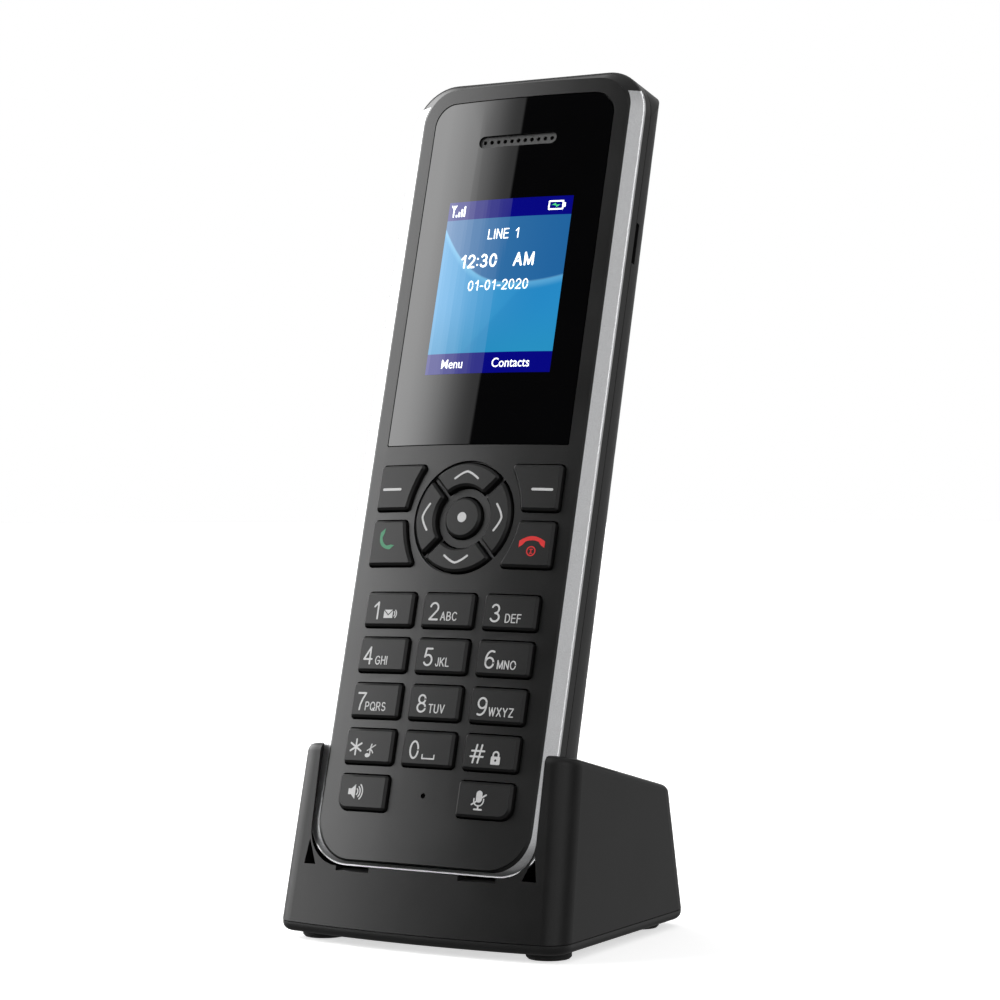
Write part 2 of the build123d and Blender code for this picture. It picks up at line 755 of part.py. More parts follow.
with BuildPart() as cradle_housing:
    add(cradle_form(0.0, top_rounding))
    add(cradle_form(cradle_wall), mode=Mode.SUBTRACT)
    add(well_tub.part)
    # Screw bosses.
    with BuildPart(mode=Mode.PRIVATE) as bosses:
        with BuildSketch(table.offset(seam_z + 0.1)):
            with Locations(*cradle_screws_at):
                Circle(2.9)
        extrude(amount=40)
        add(cradle_form(0.5), mode=Mode.INTERSECT)
    add(bosses.part)
    # The well, and the opening in the front wall that shows the handset's face.
    with BuildSketch(across(well_floor)):
        add(well_section())
    extrude(amount=70, mode=Mode.SUBTRACT)
    with BuildSketch(face.offset(lip_depth)):
        add(rounded_outline(horn_half_gap, well_floor, 0, lip_corner, 1))
    extrude(amount=20, mode=Mode.SUBTRACT)
    # Bevelled lip, left square on a short tab in the middle.
    for lip_start in (-horn_half_gap + lip_corner, lip_tab):
        with BuildSketch(side_plane(lip_start)):
            with BuildLine():
                Polyline((well_floor, lip_depth), (well_floor + 1, lip_depth), (well_floor + 1, 4),
                         (well_floor - lip_bevel, 4), (well_floor - lip_bevel / 2, -1),
                         close=True)
            make_face()
        extrude(amount=horn_half_gap - lip_corner - lip_tab, mode=Mode.SUBTRACT)
    # Holes for the charge pins, the screws and the power socket.
    with BuildSketch(across(well_floor + 1)):
        with Locations((-pad_across, pad_depth), (pad_across, pad_depth)):
            Circle(pin_radius + pin_clearance)
    extrude(amount=-well_floor_thickness - 3, mode=Mode.SUBTRACT)
    with BuildSketch(table.offset(seam_z)):
        with Locations(*cradle_screws_at):
            Circle(1.05)
    extrude(amount=5.5, mode=Mode.SUBTRACT)
    with BuildSketch(upright.offset(-cradle_rear - 3)):
        with Locations((0, socket_z)):
            Circle(4.2)
    extrude(amount=9, mode=Mode.SUBTRACT)
finish(cradle_housing, "cradle_housing")

with BuildPart() as cradle_bottom_cover:
    with BuildSketch(table.offset(cover_z)):
        add(cradle_outline(seam_z, 0.05))
    extrude(amount=seam_z - cover_z - seam_gap)
    fillet(cradle_bottom_cover.faces().sort_by(Axis.Z)[0].edges(), 1.5)
    with BuildSketch(table.offset(seam_z - seam_gap)):
        add(cradle_outline(seam_z, cradle_wall + 0.6))
        add(cradle_outline(seam_z, cradle_wall + 1.8), mode=Mode.SUBTRACT)
    extrude(amount=1.6)
    with BuildSketch(table.offset(cover_z)):
        with Locations(*foot_places):
            Circle(foot_radius)
        with Locations(*cradle_screws_at):
            Circle(2.6)
    extrude(amount=0.6, mode=Mode.SUBTRACT)
    with BuildSketch(table):
        with Locations(*cradle_screws_at):
            Circle(1.3)
    extrude(amount=10, mode=Mode.SUBTRACT)
finish(cradle_bottom_cover, "cradle_bottom_cover")

with BuildPart() as cradle_feet:
    with BuildSketch(table):
        with Locations(*foot_places):
            Circle(foot_radius - 0.02)
    extrude(amount=cover_z + 0.6)
    chamfer(cradle_feet.faces().group_by(Axis.Z)[0].edges(), 0.4)
finish(cradle_feet, "cradle_feet")

with BuildPart() as cradle_screws:
    with BuildSketch(table.offset(cover_z - 0.5)):
        with Locations(*cradle_screws_at):
            Circle(2.4)
    extrude(amount=1.1)
    with BuildSketch(table.offset(cover_z + 0.6)):
        with Locations(*cradle_screws_at):
            Circle(1.0)
    extrude(amount=5.2)
    with BuildSketch(table.offset(cover_z - 0.5)):
        with Locations(*cradle_screws_at):
            Rectangle(3.0, 0.6)
            Rectangle(0.6, 3.0)
    extrude(amount=0.6, mode=Mode.SUBTRACT)
finish(cradle_screws, "cradle_screws")

with BuildPart() as contact_block:
    with BuildSketch(across(well_floor - well_floor_thickness - 0.05)):
        with Locations((0, pad_depth)):
            Rectangle(2 * pad_across + 6, 6)
        with Locations((-pad_across, pad_depth), (pad_across, pad_depth)):
            Circle(pin_radius + pin_clearance, mode=Mode.SUBTRACT)
    extrude(amount=-3.2)
finish(contact_block, "contact_block")

for side, name in ((-1, "charge_pin_left"), (1, "charge_pin_right")):
    with BuildPart() as pin:
        with BuildSketch(across(well_floor + pin_proud - pin_length)):
            with Locations((side * pad_across, pad_depth)):
                Circle(pin_radius)
        extrude(amount=pin_length)
        fillet(pin.faces().sort_by(Axis(pin.part.center(), (0, s, c)))[-1].edges(), 0.6)
    finish(pin, name)

with BuildPart() as cradle_circuit_board:
    with BuildSketch(table.offset(board_z)):
        with Locations((0, 13)):
            Rectangle(20, 13)
    extrude(amount=1.2)
    with BuildSketch(table.offset(board_z + 1.2)):
        with Locations((-6.5, 9.5), (6.5, 9.5)):
            Rectangle(4, 3)
    extrude(amount=1.6)
finish(cradle_circuit_board, "cradle_circuit_board")

with BuildPart() as power_socket:
    with BuildSketch(upright.offset(-socket_face)):
        with Locations((0, socket_z)):
            Rectangle(8.4, 7.6)
    extrude(amount=socket_length)
    with BuildSketch(upright.offset(-socket_face)):
        with Locations((0, socket_z)):
            Circle(2.9)
            Circle(0.9, mode=Mode.SUBTRACT)
    extrude(amount=socket_length - 1.5, mode=Mode.SUBTRACT)
finish(power_socket, "power_socket")
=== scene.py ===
"""Looks of a slim cordless telephone that stands in its charging cradle.

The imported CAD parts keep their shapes. This script gives every part its finish, prints the keys,
lights the display, and sets up the camera, the floor and the studio light.
"""

import json
import logging
import math
from dataclasses import dataclass, field
from enum import Enum
from typing import Any, Iterable, Sequence

import bmesh
import bpy
from mathutils import Matrix, Vector
from mathutils.bvhtree import BVHTree
from mathutils.geometry import tessellate_polygon


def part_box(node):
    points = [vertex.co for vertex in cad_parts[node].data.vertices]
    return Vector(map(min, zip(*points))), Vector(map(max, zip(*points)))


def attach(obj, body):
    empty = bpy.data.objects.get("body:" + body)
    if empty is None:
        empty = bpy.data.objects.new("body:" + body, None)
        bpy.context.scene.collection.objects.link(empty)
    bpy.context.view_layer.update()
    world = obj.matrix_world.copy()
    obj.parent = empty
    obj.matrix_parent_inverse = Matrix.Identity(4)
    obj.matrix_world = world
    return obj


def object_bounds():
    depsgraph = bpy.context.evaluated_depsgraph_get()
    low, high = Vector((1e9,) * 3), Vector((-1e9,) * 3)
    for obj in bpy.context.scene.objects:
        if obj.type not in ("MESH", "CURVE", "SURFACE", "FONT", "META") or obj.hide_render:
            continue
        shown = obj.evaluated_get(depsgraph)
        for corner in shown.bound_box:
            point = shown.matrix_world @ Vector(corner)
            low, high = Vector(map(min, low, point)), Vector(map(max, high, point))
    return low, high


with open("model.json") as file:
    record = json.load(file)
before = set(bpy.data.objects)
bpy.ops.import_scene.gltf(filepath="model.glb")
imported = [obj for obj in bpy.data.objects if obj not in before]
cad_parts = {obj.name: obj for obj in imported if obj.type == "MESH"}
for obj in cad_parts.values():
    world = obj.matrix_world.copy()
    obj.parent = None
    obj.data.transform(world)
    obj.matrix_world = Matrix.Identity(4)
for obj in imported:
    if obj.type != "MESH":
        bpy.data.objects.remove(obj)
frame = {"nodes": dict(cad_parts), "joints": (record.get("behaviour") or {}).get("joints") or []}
CAD_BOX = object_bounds()
log = logging.getLogger("cordless_phone")

MM = 0.001
DISPLAY_CENTRE = Vector((0.0, 1.1155, 123.5)) * MM

Point = tuple[float, float]
Colour = tuple[float, float, float]


# ---- Shader maths ------------------------------------------------------------------------------
@dataclass(frozen=True)
class Wire:
    """A number on a shader socket. Arithmetic on it adds Math nodes."""

    shop: "NodeShop"
    socket: bpy.types.NodeSocket

    def math(self, operation: str, first: Any, second: Any = 0.0) -> "Wire":
        """Adds one Math node.

        Args:
            operation: the Math node's operation.
            first: the first number or wire.
            second: the second number or wire.

        Returns:
            The wire of its result.
        """
        made = self.shop.node("ShaderNodeMath", {"operation": operation}, {0: first, 1: second})
        return Wire(self.shop, made.outputs[0])

    def __add__(self, other: Any) -> "Wire":
        """Sum."""
        return self.math("ADD", self, other)

    def __radd__(self, other: Any) -> "Wire":
        """Sum, with the number first."""
        return self.math("ADD", other, self)

    def __sub__(self, other: Any) -> "Wire":
        """Difference."""
        return self.math("SUBTRACT", self, other)

    def __rsub__(self, other: Any) -> "Wire":
        """Difference, with the number first."""
        return self.math("SUBTRACT", other, self)

    def __mul__(self, other: Any) -> "Wire":
        """Product."""
        return self.math("MULTIPLY", self, other)

    def __rmul__(self, other: Any) -> "Wire":
        """Product, with the number first."""
        return self.math("MULTIPLY", other, self)

    def __truediv__(self, other: Any) -> "Wire":
        """Quotient."""
        return self.math("DIVIDE", self, other)

    def __rtruediv__(self, other: Any) -> "Wire":
        """Quotient, with the number first."""
        return self.math("DIVIDE", other, self)

    def __neg__(self) -> "Wire":
        """Opposite."""
        return self.math("MULTIPLY", self, -1.0)

    def __abs__(self) -> "Wire":
        """Size without sign."""
        return self.math("ABSOLUTE", self)

    def __pow__(self, power: float) -> "Wire":
        """Power."""
        return self.math("POWER", self, power)

    def at_least(self, low: Any) -> "Wire":
        """The larger of this and low."""
        return self.math("MAXIMUM", self, low)

    def rise(self, low: float, high: float) -> "Wire":
        """A smooth step from 0 at low to 1 at high. It falls where low is the larger.

        Args:
            low: the value where the step is 0.
            high: the value where the step is 1.

        Returns:
            The wire of the step.
        """
        turned = low > high
        start, end = (high, low) if turned else (low, high)
        made = self.shop.node("ShaderNodeMapRange", {"interpolation_type": "SMOOTHSTEP"},
                              {"Value": self, "From Min": start, "From Max": end})
        step = Wire(self.shop, made.outputs[0])
        return 1.0 - step if turned else step


class NodeShop:
    """Makes the nodes of one material, or of the world."""

    def __init__(self, tree: bpy.types.NodeTree) -> None:
        """Starts with an empty node tree."""
        self.tree = tree
        tree.nodes.clear()

    def node(self, kind: str, settings: dict[str, Any] | None = None,
             inputs: dict[Any, Any] | None = None) -> bpy.types.Node:
        """Makes one node.

        Args:
            kind: the node's type.
            settings: its properties, which are set first.
            inputs: a value, wire or socket for each input, by name or number.

        Returns:
            The new node.
        """
        made = self.tree.nodes.new(kind)
        for key, value in (settings or {}).items():
            setattr(made, key, value)
        for key, value in (inputs or {}).items():
            if isinstance(value, Wire):
                self.tree.links.new(value.socket, made.inputs[key])
            elif isinstance(value, bpy.types.NodeSocket):
                self.tree.links.new(value, made.inputs[key])
            elif isinstance(value, tuple) and made.inputs[key].type == "RGBA":
                made.inputs[key].default_value = (*value, 1.0)
            else:
                made.inputs[key].default_value = value
        return made

    def place(self) -> bpy.types.NodeSocket:
        """The point on the surface, in the row frame."""
        return self.node("ShaderNodeTexCoord").outputs["Object"]

    def along(self, axis: Vector, origin: Vector) -> Wire:
        """Distance along an axis, in millimetres.

        Args:
            axis: a unit vector.
            origin: the point where the distance is 0.

        Returns:
            The wire of the distance.
        """
        moved = self.node("ShaderNodeVectorMath", {"operation": "SUBTRACT"},
                          {0: self.place(), 1: tuple(origin)})
        dot = self.node("ShaderNodeVectorMath", {"operation": "DOT_PRODUCT"},
                        {0: moved.outputs[0], 1: tuple(axis)})
        return Wire(self, dot.outputs["Value"]) * (1.0 / MM)

    def noise(self, size: float, detail: float = 3.0,
              stretch: Vector = Vector((1, 1, 1))) -> Wire:
        """Soft noise.

        Args:
            size: the size of its grains, in millimetres.
            detail: how many finer layers it has.
            stretch: how much finer it is along each axis.

        Returns:
            A wire from 0 to 1.
        """
        place = self.node("ShaderNodeVectorMath", {"operation": "MULTIPLY"},
                          {0: self.place(), 1: tuple(stretch)})
        made = self.node("ShaderNodeTexNoise", None,
                         {"Vector": place.outputs[0], "Scale": 1.0 / (size * MM), "Detail": detail})
        return Wire(self, made.outputs[0])

    def cells(self, size: float) -> Wire:
        """Distance to the middle of small cells.

        Args:
            size: the size of a cell, in millimetres.

        Returns:
            A wire from 0 to about 1.
        """
        made = self.node("ShaderNodeTexVoronoi", None,
                         {"Vector": self.place(), "Scale": 1.0 / (size * MM)})
        return Wire(self, made.outputs["Distance"])

    def mixed(self, mask: Any, low: Any, high: Any) -> bpy.types.NodeSocket:
        """Blends two colours.

        Args:
            mask: the share of the second one.
            low: the colour where the mask is 0.
            high: the colour where the mask is 1.

        Returns:
            The colour's socket.
        """
        made = self.node("ShaderNodeMix", {"data_type": "RGBA"}, {0: mask, 6: low, 7: high})
        return made.outputs[2]

    def relief(self, height: Wire, depth: float) -> bpy.types.NodeSocket:
        """A bump.

        Args:
            height: the height's wire, from 0 to 1.
            depth: its height in millimetres.

        Returns:
            The normal's socket.
        """
        made = self.node("ShaderNodeBump", None,
                         {"Strength": 1.0, "Distance": depth * MM, "Height": height})
        return made.outputs[0]

    def surface(self, **inputs: Any) -> None:
        """Ends the tree in a Principled shader.

        Args:
            inputs: values or wires, by input name with _ for a space.
        """
        named = {key.replace("_", " "): value for key, value in inputs.items()}
        shader = self.node("ShaderNodeBsdfPrincipled", None, named)
        self.node("ShaderNodeOutputMaterial", None, {"Surface": shader.outputs[0]})


def new_material(name: str) -> tuple[bpy.types.Material, NodeShop]:
    """Makes an empty material.

    Args:
        name: its name.

    Returns:
        The material, and the shop that fills it.
    """
    material = bpy.data.materials.new(name)
    material.use_nodes = True
    return material, NodeShop(material.node_tree)


def grey(level: float) -> Colour:
    """A neutral colour."""
    return (level, level, level)


# ---- Finishes ----------------------------------------------------------------------------------
@dataclass(frozen=True)
class MouldedPlastic:
    """Spark-eroded satin plastic: a fine pebbled grain, and faint handling marks.

    Args:
        name: the material's name.
        colour: its colour.
        roughness: its mean roughness.
        grain: the grain's size in millimetres.
        depth: the grain's height in millimetres.
        gloss: how strongly it mirrors, 0.5 being plain plastic.
    """

    name: str
    colour: Colour
    roughness: float = 0.4
    grain: float = 0.22
    depth: float = 0.006
    gloss: float = 0.5

    def make(self) -> bpy.types.Material:
        """Builds and returns the material."""
        material, shop = new_material(self.name)
        pebbles = shop.cells(self.grain)
        flow = shop.noise(14.0, 4.0)
        specks = shop.noise(self.grain * 0.6, 2.0)
        lighter = tuple(level * 1.22 + 0.001 for level in self.colour)
        darker = tuple(level * 0.86 for level in self.colour)
        colour = shop.mixed((flow * 0.6 + specks * 0.4).rise(0.35, 0.65), darker, lighter)
        rough = self.roughness + (flow - 0.5) * 0.10 + (specks - 0.5) * 0.08
        height = (1.0 - pebbles) * 0.7 + specks * 0.3
        shop.surface(Base_Color=colour, Roughness=rough, Normal=shop.relief(height, self.depth),
                     IOR=1.49, Specular_IOR_Level=self.gloss)
        return material


@dataclass(frozen=True)
class LensGloss:
    """Polished black acrylic window: a mirror-smooth face over a black back print."""

    name: str = "lens_black_acrylic"
    black: Colour = (0.0012, 0.0012, 0.0014)

    def make(self) -> bpy.types.Material:
        """Builds and returns the material."""
        material, shop = new_material(self.name)
        haze = shop.noise(9.0, 3.0)
        rough = 0.012 + haze.rise(0.45, 0.8) * 0.018
        waves = shop.noise(30.0, 1.0)
        colour = shop.mixed(haze, self.black, tuple(level * 1.8 for level in self.black))
        shop.surface(Base_Color=colour, Roughness=rough, Normal=shop.relief(waves, 0.004),
                     IOR=1.49)
        return material


@dataclass(frozen=True)
class SatinPaint:
    """Silver lacquer on plastic: fine metal flake under a satin skin."""

    name: str = "trim_silver_lacquer"
    silver: Colour = (0.68, 0.685, 0.695)

    def make(self) -> bpy.types.Material:
        """Builds and returns the material."""
        material, shop = new_material(self.name)
        flake = shop.cells(0.09)
        drift = shop.noise(11.0, 3.0)
        colour = shop.mixed(flake.rise(0.1, 0.7), tuple(level * 1.15 for level in self.silver),
                            tuple(level * 0.82 for level in self.silver))
        rough = 0.36 + (drift - 0.5) * 0.1 + (flake - 0.4) * 0.06
        shop.surface(Base_Color=colour, Metallic=0.82, Roughness=rough,
                     Normal=shop.relief(flake, 0.003), Coat_Weight=0.25, Coat_Roughness=0.2)
        return material


@dataclass(frozen=True)
class PrintInk:
    """Opaque printing ink, slightly uneven where it meets the plastic's grain. Its glow is emitted
    light: a painted glow on the key prints, which no lamp lights, and the screen's own light on the
    display.
    """

    name: str
    colour: Colour
    glow: float = 0.0

    def make(self) -> bpy.types.Material:
        """Builds and returns the material."""
        material, shop = new_material(self.name)
        cover = shop.noise(0.18, 2.0)
        thin = tuple(level * 0.86 for level in self.colour)
        colour = shop.mixed(cover.rise(0.3, 0.6), thin, self.colour)
        # glow paints light into the ink: a painted glow on key prints, the screen's own light on
        # display text
        shop.surface(Base_Color=colour, Roughness=0.5 + (cover - 0.5) * 0.2,
                     Normal=shop.relief(cover, 0.004), Emission_Color=self.colour,
                     Emission_Strength=self.glow)
        return material


@dataclass(frozen=True)
class DisplayGlow:
    """The lit picture: two navy bars, and a blue sky with a bright curved sweep.

    Args:
        name: the material's name.
        across: the handset's direction to the right.
        up: the handset's direction up the face.
        width: the picture's width in millimetres.
        height: the picture's height in millimetres.
        top_bar: the height of the upper bar in millimetres.
        bottom_bar: the height of the lower bar in millimetres.
        shift: how far the picture's middle is to the right, in millimetres.
        low_point: where the sweep is lowest, from 0 at the left edge to 1 at the right.
        low_level: how far down it is there, from 0 at the top to 1 at the foot.
    """

    name: str
    across: Vector
    up: Vector
    width: float
    height: float
    top_bar: float
    bottom_bar: float
    shift: float
    low_point: float = 0.65
    low_level: float = 0.49

    def make(self) -> bpy.types.Material:
        """Builds and returns the material."""
        material, shop = new_material(self.name)
        x = shop.along(self.across, DISPLAY_CENTRE)
        y = shop.along(self.up, DISPLAY_CENTRE)
        s = (x - self.shift) / self.width + 0.5
        t = 0.5 - y / self.height
        steep = (1.0 - s / self.low_point).at_least(0.0) ** 2.6
        shallow = (s - self.low_point).at_least(0.0) ** 2.0
        below = t - (self.low_level - steep * 0.33 - shallow * 0.3)
        sky = shop.mixed(s.rise(-0.1, 1.1), (0.045, 0.19, 0.42), (0.014, 0.13, 0.36))
        sea = shop.mixed(s.rise(0.1, 0.9), (0.062, 0.36, 0.68), (0.02, 0.27, 0.60))
        deep = shop.mixed(t.rise(0.55, 0.95), sea, (0.02, 0.29, 0.56))
        ray = (s * 0.9 + t).rise(1.12, 1.16) * (s * 0.9 + t).rise(1.6, 1.2)
        veiled = shop.mixed(ray * 0.22, deep, (0.01, 0.20, 0.50))
        picture = shop.mixed(below.rise(-0.004, 0.004), sky, veiled)
        line = below.rise(-0.012, 0.0) * below.rise(0.05, 0.004) * (1.0 - s * 0.35)
        lit = shop.mixed(line * 0.55, picture, (0.22, 0.60, 0.88))
        bars = t.rise(self.top_bar / self.height + 0.001, self.top_bar / self.height - 0.001)
        foot = 1.0 - self.bottom_bar / self.height
        bars = bars + t.rise(foot - 0.001, foot + 0.001)
        colour = shop.mixed(bars, lit, (0.0003, 0.0006, 0.225))
        grid = shop.noise(0.22, 0.0)
        shop.surface(Base_Color=grey(0.002), Roughness=0.02 + grid * 0.01, IOR=1.49,
                     Emission_Color=colour, Emission_Strength=0.95)
        return material


@dataclass(frozen=True)
class SoftRubber:
    """Dull moulded rubber with a dusty bloom."""

    name: str
    colour: Colour
    roughness: float = 0.75

    def make(self) -> bpy.types.Material:
        """Builds and returns the material."""
        material, shop = new_material(self.name)
        bloom = shop.noise(2.5, 4.0)
        pores = shop.noise(0.12, 2.0)
        dusty = tuple(level * 1.6 + 0.004 for level in self.colour)
        colour = shop.mixed(bloom.rise(0.45, 0.75) * 0.6, self.colour, dusty)
        shop.surface(Base_Color=colour, Roughness=self.roughness + (bloom - 0.5) * 0.15,
                     Normal=shop.relief(pores, 0.008))
        return material


@dataclass(frozen=True)
class TurnedMetal:
    """Plated or machined metal with fine tool marks and light tarnish."""

    name: str
    colour: Colour
    roughness: float = 0.28
    tarnish: Colour = (0.2, 0.18, 0.14)

    def make(self) -> bpy.types.Material:
        """Builds and returns the material."""
        material, shop = new_material(self.name)
        marks = shop.noise(0.15, 3.0, Vector((1.0, 0.15, 1.0)))
        stain = shop.noise(1.8, 4.0)
        colour = shop.mixed(stain.rise(0.55, 0.85) * 0.45, self.colour, self.tarnish)
        rough = self.roughness + (marks - 0.5) * 0.16 + stain.rise(0.5, 0.9) * 0.15
        shop.surface(Base_Color=colour, Metallic=1.0, Roughness=rough,
                     Normal=shop.relief(marks, 0.003))
        return material


@dataclass(frozen=True)
class BoardResist:
    """Green solder resist with copper tracks and bare pads showing through."""

    name: str = "board_solder_resist"

    def make(self) -> bpy.types.Material:
        """Builds and returns the material."""
        material, shop = new_material(self.name)
        lanes = shop.noise(2.2, 0.0, Vector((2.6, 0.5, 0.5)))
        tracks = abs(lanes * 9.0 - 4.5).rise(0.5, 0.25)
        pads = shop.cells(3.1).rise(0.17, 0.13)
        green = shop.mixed(tracks * 0.7, (0.010, 0.070, 0.028), (0.030, 0.150, 0.055))
        colour = shop.mixed(pads, green, (0.75, 0.72, 0.62))
        shop.surface(Base_Color=colour, Metallic=pads, Roughness=0.32 + lanes * 0.12,
                     Normal=shop.relief(tracks + pads, 0.02))
        return material


@dataclass(frozen=True)
class CellSleeve:
    """Printed shrink sleeve on a round cell, with bare plated ends.

    Args:
        name: the material's name.
        up: the direction along the cells.
        middle: the point half way along them.
        half: half their length in millimetres.
    """

    name: str
    up: Vector
    middle: Vector
    half: float

    def make(self) -> bpy.types.Material:
        """Builds and returns the material."""
        material, shop = new_material(self.name)
        y = shop.along(self.up, self.middle)
        ends = abs(y).rise(self.half - 1.7, self.half - 1.5)
        band = y.rise(self.half * 0.42, self.half * 0.44)
        stripe = y.rise(self.half * 0.36, self.half * 0.37) * (1.0 - band)
        wrinkle = shop.noise(1.6, 3.0, Vector((1.0, 1.0, 0.25)))
        sleeve = shop.mixed(band, (0.015, 0.10, 0.05), (0.62, 0.63, 0.62))
        striped = shop.mixed(stripe, sleeve, (0.75, 0.55, 0.08))
        colour = shop.mixed(ends, striped, (0.62, 0.61, 0.58))
        shop.surface(Base_Color=colour, Metallic=ends, Roughness=0.24 + wrinkle * 0.14,
                     Normal=shop.relief(wrinkle, 0.03))
        return material


@dataclass(frozen=True)
class WovenScreen:
    """Black acoustic cloth behind a grille: a fine square weave."""

    name: str
    across: Vector
    up: Vector
    thread: float = 0.22

    def make(self) -> bpy.types.Material:
        """Builds and returns the material."""
        material, shop = new_material(self.name)
        turns = 2.0 * math.pi / self.thread
        x = shop.along(self.across, DISPLAY_CENTRE)
        y = shop.along(self.up, DISPLAY_CENTRE)
        warp = x.math("SINE", x * turns)
        weft = y.math("SINE", y * turns)
        weave = (warp * weft) * 0.5 + 0.5
        colour = shop.mixed(weave, grey(0.004), grey(0.035))
        shop.surface(Base_Color=colour, Roughness=0.7 + weave * 0.1,
                     Normal=shop.relief(weave, 0.02))
        return material


# ---- Places on the handset ---------------------------------------------------------------------
@dataclass(frozen=True)
class FacePlane:
    """The handset's leaning face: x to the right, y up the handset, z out of the face.

    Args:
        across: the x axis in the row frame.
        up: the y axis in the row frame.
        out: the z axis in the row frame.
    """

    across: Vector
    up: Vector
    out: Vector

    @classmethod
    def from_joint(cls, name: str) -> "FacePlane":
        """Reads the lean from the joint that lifts the handset.

        Args:
            name: the joint's name.

        Returns:
            The plane.
        """
        joint = next(j for j in frame["joints"] if j["name"] == name)
        across = Vector((1.0, 0.0, 0.0))
        up = Vector(joint["axis"]).normalized()
        return cls(across, up, across.cross(up))

    def matrix(self) -> Matrix:
        """From face coordinates to the row frame, both in metres."""
        turned = Matrix((self.across, self.up, self.out)).transposed().to_4x4()
        return Matrix.Translation(DISPLAY_CENTRE) @ turned

    def points(self, node: str) -> list[Vector]:
        """A CAD node's vertices in face coordinates.

        Args:
            node: the node's name.

        Returns:
            Its vertices, in metres.
        """
        inverse = self.matrix().inverted()
        return [inverse @ vertex.co for vertex in frame["nodes"][node].data.vertices]

    def extent(self, node: str) -> tuple[Vector, Vector]:
        """A CAD node's lowest and highest corners in face coordinates, in millimetres.

        Args:
            node: the node's name.

        Returns:
            The two corners.
        """
        points = self.points(node)
        low = Vector(min(point[axis] for point in points) for axis in range(3))
        high = Vector(max(point[axis] for point in points) for axis in range(3))
        return low / MM, high / MM

    def surface(self, node: str) -> BVHTree:
        """A CAD node's mesh in face coordinates, for dropping points on it."""
        mesh = frame["nodes"][node].data
        return BVHTree.FromPolygons(self.points(node), [tuple(p.vertices) for p in mesh.polygons])


# ---- Flat artwork ------------------------------------------------------------------------------
class Side(Enum):
    """Where a line of lettering starts from."""

    LEFT = "LEFT"
    MIDDLE = "CENTER"


def arc(centre: Point, radius: float, start: float, end: float, steps: int = 14) -> list[Point]:
    """Points along a circular arc.

    Args:
        centre: the arc's centre.
        radius: its radius.
        start: the first angle in degrees.
        end: the last angle in degrees.
        steps: how many parts it has.

    Returns:
        The points, both ends included.
    """
    angles = [math.radians(start + (end - start) * i / steps) for i in range(steps + 1)]
    return [(centre[0] + radius * math.cos(a), centre[1] + radius * math.sin(a)) for a in angles]


def bow(x: float, y: float, wide: float, tall: float, start: float, end: float) -> list[Point]:
    """Points along an upright ellipse's arc.

    Args:
        x: its middle across.
        y: its middle up.
        wide: half its width.
        tall: half its height.
        start: the first angle in degrees.
        end: the last angle in degrees.

    Returns:
        The points, both ends included.
    """
    return [(x + wide * px, y + tall * py) for px, py in arc((0.0, 0.0), 1.0, start, end, 20)]


STEM: list[Point] = [(0.0, 0.0), (0.0, 1.0)]
HIGH_BOWL: list[Point] = STEM + [(0.3, 1.0)] + bow(0.3, 0.74, 0.26, 0.26, 90, -90) + [(0.0, 0.48)]

